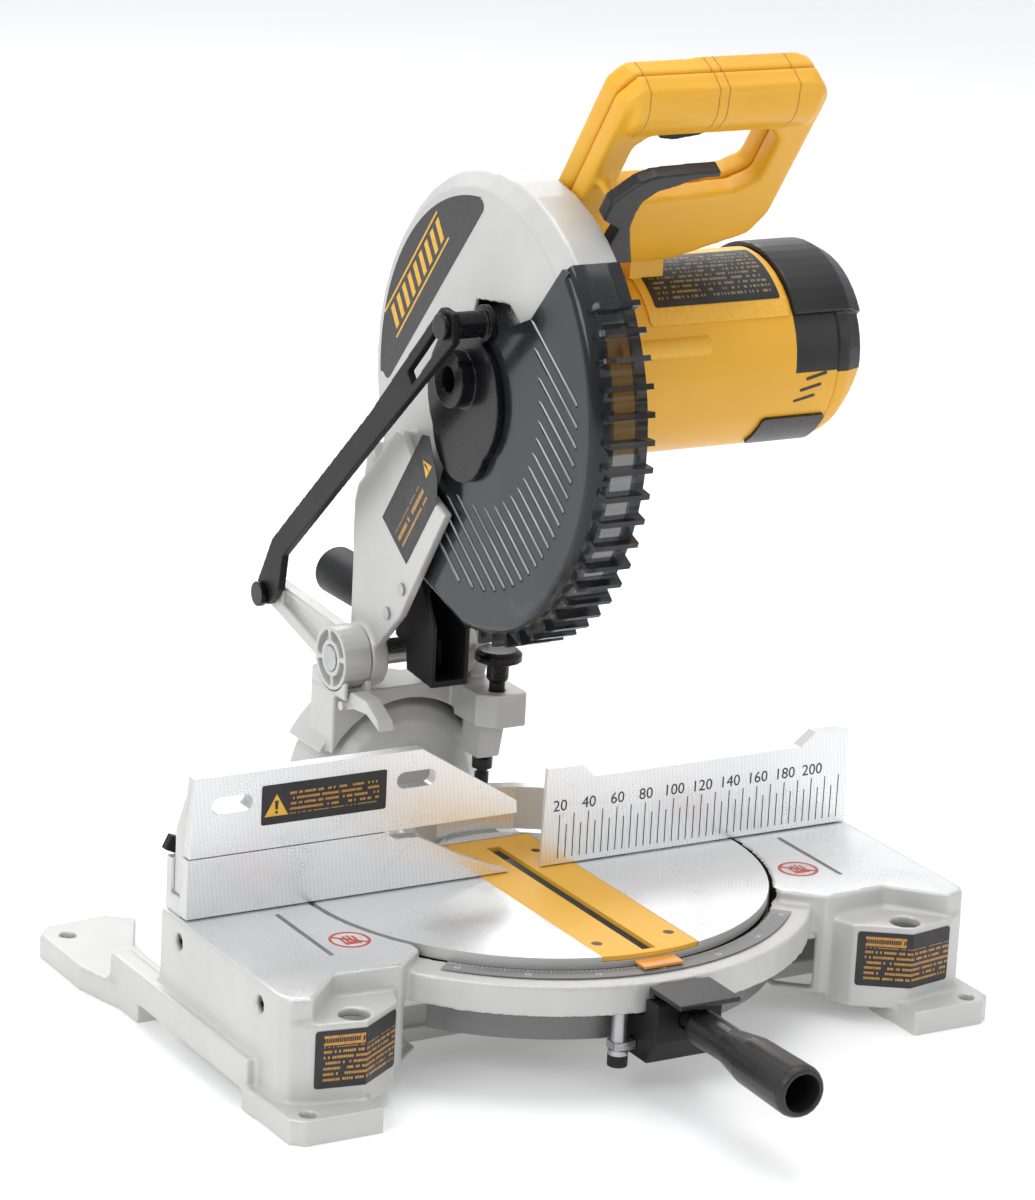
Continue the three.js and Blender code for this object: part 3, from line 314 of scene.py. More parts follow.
def label_print(name, width, height, pitch, ink, ground=(0.012, 0.012, 0.013), header=0.0,
                left=3.0, margin=2.5, glyph=1.25, fill=0.2):
    """A printed label: rows of unreadable marks on a dark ground. UVs are in millimetres."""
    s = Shade(name)
    u, v, _ = s.split(s.uv)
    row = s.math("DIVIDE", v, pitch)
    column = s.math("DIVIDE", u, glyph)
    white = s.tree.nodes.new("ShaderNodeTexWhiteNoise")
    white.noise_dimensions = "2D"
    join = s.tree.nodes.new("ShaderNodeCombineXYZ")
    s.feed(join.inputs[0], s.math("FLOOR", column))
    s.feed(join.inputs[1], s.math("FLOOR", row))
    s.feed(white.inputs["Vector"], join.outputs[0])
    inside = [
        s.math("GREATER_THAN", white.outputs["Value"], fill),
        s.math("LESS_THAN", s.math("FRACT", column), 0.8),
        s.math("GREATER_THAN", s.math("FRACT", row), 0.28),
        s.math("LESS_THAN", s.math("FRACT", row), 0.74),
        s.math("GREATER_THAN", u, left),
        s.math("LESS_THAN", u, width - margin),
        s.math("GREATER_THAN", v, margin),
        s.math("LESS_THAN", v, height - margin - header),
    ]
    marks = inside[0]
    for mask in inside[1:]:
        marks = s.math("MULTIPLY", marks, mask)
    if header:
        block = [s.math("GREATER_THAN", u, left), s.math("LESS_THAN", u, left + 24),
                 s.math("GREATER_THAN", v, height - margin - header + 0.8),
                 s.math("LESS_THAN", v, height - margin + 0.6)]
        solid = block[0]
        for mask in block[1:]:
            solid = s.math("MULTIPLY", solid, mask)
        tall = s.math("MULTIPLY", inside[1], inside[0])
        middle = s.math("LESS_THAN", s.math("ABSOLUTE", s.math(
            "SUBTRACT", v, height - margin - header / 2 + 0.7)), header * 0.22)
        solid = s.math("SUBTRACT", solid, s.math("MULTIPLY", solid, s.math(
            "MULTIPLY", tall, middle)))
        marks = s.math("MAXIMUM", marks, solid)
    rubbed = s.math("MULTIPLY", marks, s.remap(s.noise(1.5, 3), 0.3, 0.6, 0.55, 1))
    wear = s.mix(s.remap(s.noise(20, 3), 0.4, 0.7, 0, 1), ground, tuple(c * 1.6 for c in ground))
    s.set(Base_Color=s.mix(rubbed, wear, ink),
          Roughness=s.remap(s.noise(6, 3), 0.3, 0.7, 0.3, 0.45),
          Normal=s.bump(s.noise(0.4), 0.006))
    return s.material


def ink(name, colour, rough=0.5):
    """Printed or filled marks, slightly uneven. The same finish also serves for flat painted
    shade.
    """
    s = Shade(name)
    tint = s.mix(s.remap(s.noise(3, 3), 0.3, 0.7, 0, 1), tuple(c * 0.8 for c in colour), colour)
    s.set(Base_Color=tint, Roughness=s.remap(s.noise(1.2), 0.3, 0.7, rough - 0.08, rough + 0.08),
          Normal=s.bump(s.noise(0.5), 0.004))
    return s.material


PAINT = cast_paint("casting_paint", (0.60, 0.60, 0.585), (0.53, 0.53, 0.515))
# Near-black painted shade for the gap round the turntable, on the base's wall and the turntable's
# side.
GAP_SHADE = moulded("painted_gap_shade", (0.012, 0.012, 0.012), (0.008, 0.008, 0.008), (0.6, 0.8), 0.6, 0.02,
               Specular_IOR_Level=0.1)
MILLED = machined("milled_aluminium", 2.6)
TURNED = machined("turned_aluminium", 2.2, rings=True)
STEEL = turned_steel("steel", (0.5, 0.5, 0.505))
BLADE = turned_steel("blade_steel", (0.5, 0.5, 0.52), (0.18, 0.32), (1, 0.15, 0.15))
YELLOW = moulded("yellow_plastic", (0.85, 0.445, 0.02), (0.81, 0.41, 0.016), (0.34, 0.5),
                 0.4, 0.025, worn=(0.95, 0.6, 0.12), Coat_Weight=0.12, Coat_Roughness=0.3)
GRIP_YELLOW = seamed("grip_yellow", (36.5, 82.6, 89.1, 137.1), 108)
# Pale grey painted highlight for the glints along the louvre ridges on the smoked guard.
LOUVRE_HIGHLIGHT = moulded("louvre_painted_highlight", (0.45, 0.46, 0.48), (0.3, 0.31, 0.33), (0.12, 0.25), 0.6,
                      0.004, Coat_Weight=0.5, Coat_Roughness=0.06)
KERF_YELLOW = moulded("kerf_yellow", (0.90, 0.50, 0.06), (0.87, 0.47, 0.05), (0.4, 0.55),
                      0.6, 0.03)
BLACK = moulded("black_plastic", (0.016, 0.016, 0.017), (0.010, 0.010, 0.011), (0.36, 0.55),
                0.4, 0.035, worn=(0.05, 0.05, 0.05), Specular_IOR_Level=0.22)
GLOSS = moulded("gloss_black", (0.008, 0.008, 0.009), (0.005, 0.005, 0.006), (0.2, 0.34),
                0.8, 0.006, Specular_IOR_Level=0.25, Coat_Weight=0.08, Coat_Roughness=0.08)
SATIN = moulded("satin_black", (0.022, 0.022, 0.023), (0.014, 0.014, 0.015), (0.26, 0.4),
                0.7, 0.012, worn=(0.08, 0.08, 0.08), Specular_IOR_Level=0.4)
SMOKED = smoked("smoked_plastic", 0.9)
CLEAR_SMOKE = smoked("smoked_window", 0.6)
DARK = cast_paint("dark_plate", (0.115, 0.115, 0.118), (0.085, 0.085, 0.088), 0.3)
RING_GREY = cast_paint("detent_grey", (0.11, 0.11, 0.112), (0.075, 0.075, 0.077), 0.5)
COPPER = wound_copper("copper")
POINTER = moulded("pointer_clear", (0.85, 0.36, 0.05), (0.8, 0.3, 0.04), (0.1, 0.2), 0.8, 0.005,
                  Coat_Weight=0.5, Coat_Roughness=0.05)
# Grey painted shade for the grooves in the wings.
GROOVE_SHADE = ink("groove_painted_shade", (0.2, 0.2, 0.2))
# Near-black for printed marks, and for painted shade in the motor's cooling slots.
DARK_INK_AND_SHADE = ink("dark_ink_and_painted_shade", (0.03, 0.03, 0.032))
INK_LIGHT = ink("ink_light", (0.72, 0.72, 0.72))
INK_YELLOW = ink("ink_yellow", (0.9, 0.5, 0.05))
INK_RED = ink("ink_red", (0.55, 0.10, 0.08))
STICKER = ink("sticker_white", (0.72, 0.70, 0.69))


# ---------- mesh helpers ----------
def named(name, mesh, materials, body):
    obj = bpy.data.objects.new(name, mesh)
    bpy.context.scene.collection.objects.link(obj)
    for material in materials:
        mesh.materials.append(material)
    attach(obj, body)
    return obj


def to_object(bm, name, materials, body, smooth=30):
    mesh = bpy.data.meshes.new(name)
    bmesh.ops.recalc_face_normals(bm, faces=bm.faces)
    bm.to_mesh(mesh)
    bm.free()
    for polygon in mesh.polygons:
        polygon.use_smooth = True
    mesh.set_sharp_from_angle(angle=math.radians(smooth))
    named(name, mesh, materials, body)


def sharp_edges(bm, angle):
    return [e for e in bm.edges if len(e.link_faces) == 2
            and e.calc_face_angle(0) > math.radians(angle)]


EDGE_ANGLE = 28                                 # an edge sharper than this gets a bevel
FLAT_ANGLE = 0.6                                # faces this close to one plane are joined
WELD = 0.12                                     # vertices closer than this become one


def refined(node, materials, width, pick=None, cuts=(), round_over=None):
    """A smoother copy of a CAD node: merged faces, rounded edges, soft normals. It stands for it.
    pick(centre, normal) chooses the material of a face, and round_over is (test, width) for
    edges that get a large radius, where test sees a point in millimetres."""
    source = NODES[node]
    bm = bmesh.new()
    bm.from_mesh(source.data)
    bmesh.ops.remove_doubles(bm, verts=bm.verts, dist=WELD * MM)
    bmesh.ops.dissolve_limit(bm, angle_limit=math.radians(FLAT_ANGLE), verts=bm.verts,
                             use_dissolve_boundaries=False, edges=bm.edges)
    if round_over:
        test, reach = round_over
        corner = [e for e in sharp_edges(bm, EDGE_ANGLE)
                  if all(test(v.co / MM) for v in e.verts)]
        bmesh.ops.bevel(bm, geom=corner, offset=reach * MM, segments=6, profile=0.5,
                        affect="EDGES", clamp_overlap=False)
    for point, normal in cuts:
        bmesh.ops.bisect_plane(bm, geom=bm.verts[:] + bm.edges[:] + bm.faces[:],
                               plane_co=Vector(point) * MM, plane_no=Vector(normal), dist=1e-7)
    if width:
        bmesh.ops.bevel(bm, geom=sharp_edges(bm, EDGE_ANGLE), offset=width * MM, segments=2,
                        profile=0.6, affect="EDGES", clamp_overlap=True, miter_outer="ARC")
    if pick:
        for face in bm.faces:
            face.material_index = pick(face.calc_center_median() / MM, face.normal)
    for face in bm.faces:
        face.smooth = True
    mesh = bpy.data.meshes.new(node + "_finished")
    bm.to_mesh(mesh)
    bm.free()
    mesh.set_sharp_from_angle(angle=math.radians(40))
    obj = named(node + "_finished", mesh, materials, source["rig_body"])
    weighted = obj.modifiers.new("even_normals", "WEIGHTED_NORMAL")
    weighted.keep_sharp = True
    weighted.weight = 80
    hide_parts(node)


def rounded(node, materials, voxel, rounds, pick=None):
    """A copy of a CAD node with every edge and inside corner rounded, as a casting has.
    The remesh gives even quads, and each round of smoothing softens the edges further."""
    source = NODES[node]
    work = bpy.data.objects.new(node + "_finished", source.data.copy())
    bpy.context.scene.collection.objects.link(work)
    remesh = work.modifiers.new("even_quads", "REMESH")
    remesh.mode = "VOXEL"
    remesh.voxel_size = voxel * MM
    smooth = work.modifiers.new("soften", "SMOOTH")
    smooth.factor = 0.5
    smooth.iterations = rounds
    graph = bpy.context.evaluated_depsgraph_get()
    mesh = bpy.data.meshes.new_from_object(work.evaluated_get(graph), depsgraph=graph)
    bpy.data.objects.remove(work)
    mesh.name = node + "_finished"
    mesh.materials.clear()
    bm = bmesh.new()
    bm.from_mesh(mesh)
    for face in bm.faces:
        face.smooth = True
        face.material_index = pick(face.calc_center_median() / MM, face.normal) if pick else 0
    bm.to_mesh(mesh)
    bm.free()
    obj = named(node + "_finished", mesh, materials, source["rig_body"])
    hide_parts(node)


def rounded_columns(length, radius, stations):
    """Positions along a label, with the inset of its rounded corners at each."""
    steps = [radius * (1 - math.cos(math.radians(a))) for a in (0, 22, 45, 67, 90)]
    at = sorted(set([*steps, *(length - s for s in steps), *stations]))
    columns = []
    for u in at:
        near = min(u, length - u)
        short = max(0, radius - near)
        columns.append((u, radius - math.sqrt(radius**2 - short**2)))
    return columns


def label(name, path, up, body, material, radius=1.5, thick=LABEL_T, flip=False,
          across=False):
    """A thin plate bent along path, rising by the vector up, with rounded corners.
    Its rows of print run along the path, or across it."""
    points = [Vector(p) for p in path]
    reach = [0.0]
    for a, b in zip(points, points[1:]):
        reach.append(reach[-1] + (b - a).length)
    length, height = reach[-1], Vector(up).length
    rise = Vector(up).normalized()
    bm = bmesh.new()
    uv = bm.loops.layers.uv.new("UVMap")
    rings = []
    for u, inset in rounded_columns(length, radius, reach):
        k = max(i for i in range(len(reach) - 1) if reach[i] <= u + 1e-9)
        along = (points[k + 1] - points[k]).normalized()
        out = along.cross(rise).normalized() * (-1 if flip else 1)
        foot = points[k] + along * (u - reach[k])
        ring = []
        for v in (inset, height - inset):
            for depth in (0, thick):
                ring.append((bm.verts.new((foot + rise * v + out * depth) * MM), u, v))
        rings.append(ring)

    def face(*corners):
        made = bm.faces.new([c[0] for c in corners])
        for loop, (_, u, v) in zip(made.loops, corners):
            loop[uv].uv = (v, u) if across else (u, v)

    for a, b in zip(rings, rings[1:]):
        for i, j in ((1, 3), (3, 2), (2, 0), (0, 1)):
            face(a[i], b[i], b[j], a[j])
    for ring in (rings[0], rings[-1]):
        face(ring[0], ring[1], ring[3], ring[2])
    to_object(bm, name, [material], body)


def plate(bm, outline, origin, right, up, thick, material_index=0):
    """Adds a flat plate to bm, raised by thick. Its outline lies on the axes right and up."""
    right, up, origin = Vector(right), Vector(up), Vector(origin)
    out = right.cross(up).normalized()
    low = [bm.verts.new((origin + right * u + up * v) * MM) for u, v in outline]
    high = [bm.verts.new((origin + right * u + up * v + out * thick) * MM) for u, v in outline]
    place = dict(zip(low + high, list(outline) * 2))
    uv = bm.loops.layers.uv.verify()
    faces = [bm.faces.new(low[::-1]), bm.faces.new(high)]
    for i in range(len(outline)):
        j = (i + 1) % len(outline)
        faces.append(bm.faces.new((low[i], low[j], high[j], high[i])))
    for made in faces:
        made.material_index = material_index
        for loop in made.loops:
            loop[uv].uv = place[loop.vert]


def lathe(bm, profile, centre, axis, side, steps=48, material_index=0):
    """Adds a turned solid to bm. profile holds (radius, distance along axis), axis end to end."""
    axis, side, centre = Vector(axis), Vector(side), Vector(centre)
    other = axis.cross(side)
    rings = []
    for radius, height in profile:
        if radius < 1e-6:
            rings.append([bm.verts.new((centre + axis * height) * MM)])
            continue
        turn = [2 * math.pi * i / steps for i in range(steps)]
        rings.append([bm.verts.new((centre + axis * height + side * radius * math.cos(t)
                                    + other * radius * math.sin(t)) * MM) for t in turn])
    for a, b in zip(rings, rings[1:]):
        for i in range(steps):
            j = (i + 1) % steps
            corners = [a[i % len(a)], a[j % len(a)], b[j % len(b)], b[i % len(b)]]
            corners = list(dict.fromkeys(corners))
            if len(corners) > 2:
                bm.faces.new(corners).material_index = material_index


def figures(text, size, origin, right, up, bm):
    """Adds numerals to bm, centred on origin, as thin plates."""
    curve = bpy.data.curves.new("figures", "FONT")
    curve.body = text
    curve.size = size * MM
    curve.extrude = PRINT_T * MM / 2
    curve.align_x = "CENTER"
    curve.resolution_u = 3
    holder = bpy.data.objects.new("figures", curve)
    bpy.context.scene.collection.objects.link(holder)
    bpy.context.view_layer.update()
    mesh = bpy.data.meshes.new_from_object(holder)
    right, up = Vector(right), Vector(up)
    basis = Matrix((right, up, right.cross(up))).transposed().to_4x4()
    mesh.transform(Matrix.Translation(Vector(origin) * MM) @ basis)
    bm.from_mesh(mesh)
    bpy.data.objects.remove(holder)
    bpy.data.curves.remove(curve)


def arc(cx, cy, radius, start, end, steps=12):
    return [(cx + radius * math.cos(math.radians(start + (end - start) * i / steps)),
             cy + radius * math.sin(math.radians(start + (end - start) * i / steps)))
            for i in range(steps + 1)]


def capsule(length, width, steps=6):
    """Outline of a bar with round ends, from 0 to length along its axis."""
    r = width / 2
    return (arc(length - r, 0, r, -90, 90, steps) + arc(r, 0, r, 90, 270, steps))


# ---------- castings and machined parts ----------
def base_finish(centre, normal):
    """Milled wing tops, and painted shade on the wall round the turntable's opening."""
    if normal.z > 0.95 and abs(centre.z - TABLE) < 0.2 and abs(centre.x) > WING_START:
        return 1
    reach = math.hypot(centre.x, centre.y)
    faces_in = normal.x * centre.x + normal.y * centre.y < -reach / 2
    return 2 if faces_in and abs(reach - OPENING_R) < WALL_BAND and centre.z > WALL_FOOT else 0


def table_finish(centre, normal):
    """Turned top, upper rim in casting paint, and painted shade below it."""
    if normal.z > 0.9 and centre.z > TABLE - 1:
        return 0
    inside = math.hypot(centre.x, centre.y) < OPENING_R - 3
    return 1 if inside or centre.z > TABLE - RIM_DEPTH else 2


def fence_finish(centre, normal):
    """Milled front faces and tops, the rest painted."""
    return 0 if normal.y < -0.9 or normal.z > 0.9 else 1


def post_finish(centre, normal):
    """Steel, with a black foot."""
    return 1 if centre.z < POST_TIP else 0


rounded("base_casting", [PAINT, MILLED, GAP_SHADE], 1.5, 3, pick=base_finish)
for fence in ("fence_casting", "fence_slider"):
    refined(fence, [MILLED, PAINT], 0.5, pick=fence_finish)
refined("turntable", [TURNED, PAINT, GAP_SHADE], 0.5, pick=table_finish,
        cuts=[((0, 0, TABLE - RIM_DEPTH), (0, 0, 1))])
refined("kerf_plate", [KERF_YELLOW], 0.3)
for number in range(1, 5):
    refined(f"kerf_screw_{number}", [SATIN], 0.2)
refined("miter_pointer", [POINTER], 0.3)
refined("miter_scale", [DARK], 0.15)
refined("detent_plate", [RING_GREY], 0.6)
rounded("bevel_trunnion", [PAINT], 1.2, 3)
rounded("yoke_casting", [PAINT], 0.9, 2)
rounded("link_bracket", [PAINT], 0.7, 3)
rounded("upper_guard", [PAINT], 1.3, 4)
rounded("swing_arm", [PAINT], 1.1, 4)
rounded("gear_case", [PAINT], 1.1, 4)
rounded("crown_stop_lever", [PAINT], 0.5, 3)
refined("hinge_pin", [STEEL], 0.5)
refined("bevel_stop_bolt", [SATIN], 0.4)
refined("pivot_bolt", [STEEL], 0.5)
refined("arm_post", [STEEL, BLACK], 0.4, pick=post_finish, cuts=[((0, 0, POST_TIP), (0, 0, 1))])


# ---------- plastics ----------
def guard_finish(centre, normal):
    """Smoked plastic, with a clearer strip along the middle of the rim."""
    reach = math.hypot(centre.y - ARBOR.y, centre.z - ARBOR.z)
    rim = abs(normal.x) < 0.3 and GUARD_RIM[0] < reach < GUARD_RIM[1]
    return 1 if rim and WINDOW[0] < centre.x < WINDOW[1] else 0


def guard_corner(point):
    """The outer left corner of the moving guard, where its wall meets its rim."""
    reach = math.hypot(point.y - ARBOR.y, point.z - ARBOR.z)
    return point.x < GUARD_FACE + 0.1 and reach > GUARD_EDGE


def cap_finish(centre, normal):
    """Black above the seam of the end cap, yellow below."""
    return 1 if centre.z < NOSE_SEAM else 0


def housing_finish(centre, normal):
    """Yellow, with a black shroud over the outer end."""
    return 1 if centre.x > SHROUD_START and centre.z > MOTOR_SEAM else 0


rounded("miter_arm", [BLACK], 0.9, 3)
refined("miter_latch", [SATIN], 0.8)
rounded("miter_handle", [SATIN], 0.9, 4)
rounded("bevel_lock_lever", [BLACK], 0.8, 4)
refined("fence_clamp_lever", [BLACK], 0.6)
refined("stop_plunger", [GLOSS], 0.8)
rounded("handle_front", [GRIP_YELLOW], 1.4, 34)
rounded("handle_rear", [GRIP_YELLOW], 1.4, 34)
rounded("trigger", [BLACK], 0.6, 40)
rounded("guard_release_lever", [SATIN], 0.7, 8)
rounded("guard_link", [BLACK], 0.6, 3)
rounded("guard_bracket", [GLOSS], 0.6, 3)
refined("link_top_pin", [GLOSS], 0.8)
refined("link_foot_pin", [GLOSS], 0.8)
rounded("dust_boot", [BLACK], 0.9, 4)
refined("dust_spout", [BLACK], 0.8)
refined("spindle_lock_button", [BLACK], 0.5)
refined("lower_guard", [SMOKED, CLEAR_SMOKE], 0, pick=guard_finish,
        cuts=[((x, 0, 0), (1, 0, 0)) for x in WINDOW], round_over=(guard_corner, 6))
rounded("motor_end_cap", [SATIN, YELLOW], 0.9, 4, pick=cap_finish)
refined("motor_housing", [YELLOW, SATIN], 1.0, pick=housing_finish,
        cuts=[((SHROUD_START, 0, 0), (1, 0, 0)), ((0, 0, MOTOR_SEAM), (0, 0, 1))])

# ---------- pieces that stay as the CAD has them ----------
KEPT = {
    "saw_blade": BLADE, "arbor_shaft": STEEL, "inner_flange": STEEL, "outer_flange": STEEL,
    "blade_bolt": STEEL, "drive_gear": STEEL, "armature": COPPER, "cooling_fan": BLACK,
    "stator_core": STEEL, "motor_bearing_front": STEEL, "motor_bearing_rear": STEEL,
    "arbor_bearing": STEEL, "brush_holder_1": COPPER, "brush_holder_2": COPPER,
    "trigger_switch": BLACK, "cheek_rivet_1": STEEL, "cheek_rivet_2": STEEL,
}
for node, material in KEPT.items():
    mesh = NODES[node].data
    mesh.materials.clear()
    mesh.materials.append(material)

# ---------- labels ----------
ORANGE_INK = (0.62, 0.30, 0.05)
foot, rise = WING_LABEL
wing_print = label_print("wing_print", 66, rise, 3.3, ORANGE_INK, header=6, left=5, margin=3.5)
for side, word in ((1, "right"), (-1, "left")):
    path = [Vector((side * p.x, p.y, foot)) for p in WING_FRONT][::side]
    label(f"wing_label_{word}", path, (0, 0, rise), "base", wing_print, 2)

foot, rise = FENCE_LABEL
fence_print = label_print("fence_print", 81, rise, 3.2, ORANGE_INK, left=18, margin=5, fill=0.3)
label("fence_label", [(x, FENCE_FACE, foot) for x in FENCE_LABEL_ENDS], (0, 0, rise),
      "left_fence", fence_print, 1.2)

cheek_print = label_print("cheek_print", 62, 30, 6.2, ORANGE_INK, left=6, margin=9, glyph=2.4,
                          fill=0.12)


def cheek_label():
    """The label on the left cheek: its print runs up along the cheek."""
    along = Vector((0, -0.58, 0.81)).normalized()
    across = along.cross(ALONG_X)
    foot = Vector((CHEEK_FACE - SINK, 143, 259)) - across * CHEEK_LABEL_RISE
    corners = [(143, 259), (98, 322), (90, 323), (78, 300), (77, 286), (111, 238)]
    reach = [Vector((0, y - foot.y, z - foot.z)) for y, z in corners]
    bm = bmesh.new()
    plate(bm, [(r.dot(along), r.dot(across)) for r in reach], foot, along, across, LABEL_T)
    to_object(bm, "cheek_label", [cheek_print], "head")
    bm = bmesh.new()
    warning_sign(bm, Vector((CHEEK_FACE - LABEL_T, 90.5, 303)) - across * 3, along, across, 11)
    to_object(bm, "cheek_label_sign", [INK_YELLOW, DARK_INK_AND_SHADE], "head")


def fence_sign():
    """The warning triangle at the left of the fence's label."""
    bm = bmesh.new()
    warning_sign(bm, Vector((-170.5, FENCE_FACE - LABEL_T, 133)), ALONG_X, UP_Z, 15)
    to_object(bm, "fence_label_sign", [INK_YELLOW, DARK_INK_AND_SHADE], "left_fence")


def warning_sign(bm, foot, right, up, size):
    """A plain triangle with a bar and a dot, standing on foot."""
    half = size / 2
    plate(bm, [(-half, 0), (half, 0), (0, size * 0.88)], foot, right, up, PRINT_T)
    out = right.cross(up).normalized() * PRINT_T
    bar, top = size * 0.05, size * 0.62
    plate(bm, [(-bar, size * 0.26), (bar, size * 0.26), (bar * 1.6, top), (-bar * 1.6, top)],
          foot + out, right, up, PRINT_T, 1)
    plate(bm, arc(0, size * 0.15, size * 0.06, 0, 330, 11), foot + out, right, up, PRINT_T, 1)


cheek_label()
fence_sign()


def leaf_decal():
    """Dark leaf on the upper guard, with a plain slanted-bar band in place of any mark."""
    rim = arc(ARBOR.y, ARBOR.z, 117.5, -6, 88, 40)
    tip = arc(66, 466, 4.5, 80, 215, 6)
    foot = arc(168.5, 343.5, 4.5, 215, 330, 6)
    outline = [(-y, z) for y, z in [*rim, *tip, *foot]]
    bm = bmesh.new()
    face_at = ALONG_X * (UPPER_GUARD_FACE - SINK)
    plate(bm, outline, face_at, -ALONG_Y, UP_Z, DECAL_T)
    to_object(bm, "guard_decal", [SATIN], "head")

    bm = bmesh.new()
    along = Vector((0, -0.62, 0.785)).normalized()
    across = along.cross(ALONG_X)
    start = face_at + Vector((-DECAL_T, 158, 366))
    band, line, bars = 94, 1.4, 9
    for v in (0, 20):
        plate(bm, [(0, v), (band, v), (band, v + line), (0, v + line)], start, along, across,
              PRINT_T)
    for u in (4 + 10 * k for k in range(bars)):
        plate(bm, [(u, 4), (u + 5, 4), (u + 9, 17.5), (u + 4, 17.5)], start, along, across,
              PRINT_T)
    to_object(bm, "guard_decal_bars", [INK_YELLOW], "head")


leaf_decal()


# ---------- motor ----------
def round_motor(place, radius, start, end):
    """Points on an arc round the motor, at place along X, from one angle to another in degrees."""
    return [Vector((place, y, z)) for y, z in arc(MOTOR.y, MOTOR.z, radius, start, end, 14)]


def motor_label():
    """The dark label on the front of the motor, on its raised yellow bed."""
    start, length = MOTOR_BED
    label("motor_label_bed", round_motor(start, MOTOR_R - BED_SINK, 150, 84), (length, 0, 0),
          "head", YELLOW, 3, BED_T, flip=True)
    start, length = MOTOR_LABEL
    marks = label_print("motor_print", length, 46, 3.9, (0.34, 0.26, 0.12), left=4, margin=3.5,
                        fill=0.45, glyph=1.1)
    label("motor_label", round_motor(start, MOTOR_R + BED_T, 139, 95), (length, 0, 0), "head",
          marks, 1.5, flip=True, across=True)


def motor_vents():
    """Painted shade: dark strips standing in for three slanted cooling slots, on the front of the
    motor's outer end.
    """
    bm = bmesh.new()
    slant = math.radians(14)
    for angle, start in ((188, 192), (195, 189), (202, 186)):
        a = math.radians(angle)
        out = Vector((0, math.cos(a), math.sin(a)))
        rise = Vector((0, math.sin(a), -math.cos(a)))
        along = Vector((math.cos(slant), 0, 0)) + rise * math.sin(slant)
        plate(bm, capsule(15, 1.9), Vector((start, MOTOR.y, MOTOR.z)) + out * (MOTOR_R - 0.05),
              along, along.cross(out) * -1, 0.25)
    to_object(bm, "motor_vents", [DARK_INK_AND_SHADE], "head")


def motor_foot():
    """Black pad under the outer end of the motor."""
    start, length = MOTOR_FOOT
    path = round_motor(start, MOTOR_R - BED_SINK, 213, 240)
    label("motor_foot", path, (length, 0, 0), "head", SATIN, 3, 2.0)


motor_label()
motor_foot()
motor_vents()

# ---------- moving guard: slanted louvres ----------
LOUVRES = 20
LOUVRE_STEP = 9.6
LOUVRE_FIRST = -95                              # the first one, measured across the slant
LOUVRE_W = 3.8
LOUVRE_RISE = 1.1


def louvres():
    """Ridges cut on a slant, each between an inner and an outer circle round the arbor; their
    crests and steep faces carry a painted highlight.
    """
    run = HANDLE_NORMAL                                      # they lie along the handle's slant
    step = Vector((0, run.z, -run.y))
    bm = bmesh.new()
    for n in (LOUVRE_FIRST + LOUVRE_STEP * k for k in range(LOUVRES)):
        inner, outer = 72 + 0.16 * n, 119 + 0.05 * n
        first = math.sqrt(max(inner**2 - n**2, 20**2))
        last = math.sqrt(outer**2 - n**2)
        centre = Vector((GUARD_FACE + 0.05, ARBOR.y, ARBOR.z)) + step * n
        ends = [(first, 0.15), (first + 3, 0.7), (last - 2.5, 1.0), (last, 0.7)]
        rings = []
        for reach, share in ends:
            half, rise = LOUVRE_W * share / 2, LOUVRE_RISE * share
            section = [(-half, 0), (half - 0.3, rise), (half, rise * 0.8), (half + 0.25, 0)]
            rings.append([bm.verts.new((centre + run * reach + step * across
                                        - ALONG_X * lift) * MM) for across, lift in section])
        for p, q in zip(rings, rings[1:]):
            for i in range(4):
                j = (i + 1) % 4
                made = bm.faces.new((p[i], p[j], q[j], q[i]))
                # crest and steep face of each ridge: painted highlight
                made.material_index = 1 if i in (1, 2) else 0
        bm.faces.new(rings[0][::-1])
        bm.faces.new(rings[-1])
    to_object(bm, "guard_louvres", [SMOKED, LOUVRE_HIGHLIGHT], "lower_guard", 25)


louvres()


# ---------- scales and small marks ----------
def fence_scale():
    """Ruler on the right fence, in millimetres from the blade."""
    bm = bmesh.new()
    foot = Vector((0, FENCE_FACE - SINK, TABLE + 4.6))
    half = 0.28
    for x in range(20, 221, 5):
        top = 27.5 if x % 10 == 0 else 21
        plate(bm, [(x - half, 0), (x + half, 0), (x + half, top), (x - half, top)], foot, ALONG_X,
              UP_Z, PRINT_T)
    for x in range(20, 201, 20):
        figures(str(x), 10, (x, FENCE_FACE - PRINT_T / 2, TABLE + 34.5), ALONG_X, UP_Z, bm)
    to_object(bm, "fence_scale_marks", [DARK_INK_AND_SHADE], "base")


MARK_FOOT = 147.6                               # the degree marks start at this radius
SCALE_TURN = 47                                 # the scale runs this far to each side


def miter_scale():
    """Degree marks and numerals on the dark scale at the front."""
    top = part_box("miter_scale")[1].z / MM
    half = 0.14
    bm = bmesh.new()

    def outward(degree):
        a = math.radians(270 + degree)
        return Vector((math.cos(a), math.sin(a), 0))

    for degree in range(-SCALE_TURN, SCALE_TURN + 1):
        radial = outward(degree)
        end = MARK_FOOT + (3.4 if degree % 5 == 0 else 2.0)
        plate(bm, [(MARK_FOOT, -half), (end, -half), (end, half), (MARK_FOOT, half)],
              UP_Z * (top - 0.01), radial, Vector((-radial.y, radial.x, 0)), PRINT_T)
    for degree in range(-45, 46, 15):
        radial = outward(degree)
        figures(str(abs(degree)), 4.4, radial * 156 + UP_Z * (top + PRINT_T / 2),
                Vector((-radial.y, radial.x, 0)), -radial, bm)
    to_object(bm, "miter_scale_marks", [INK_LIGHT], "base")


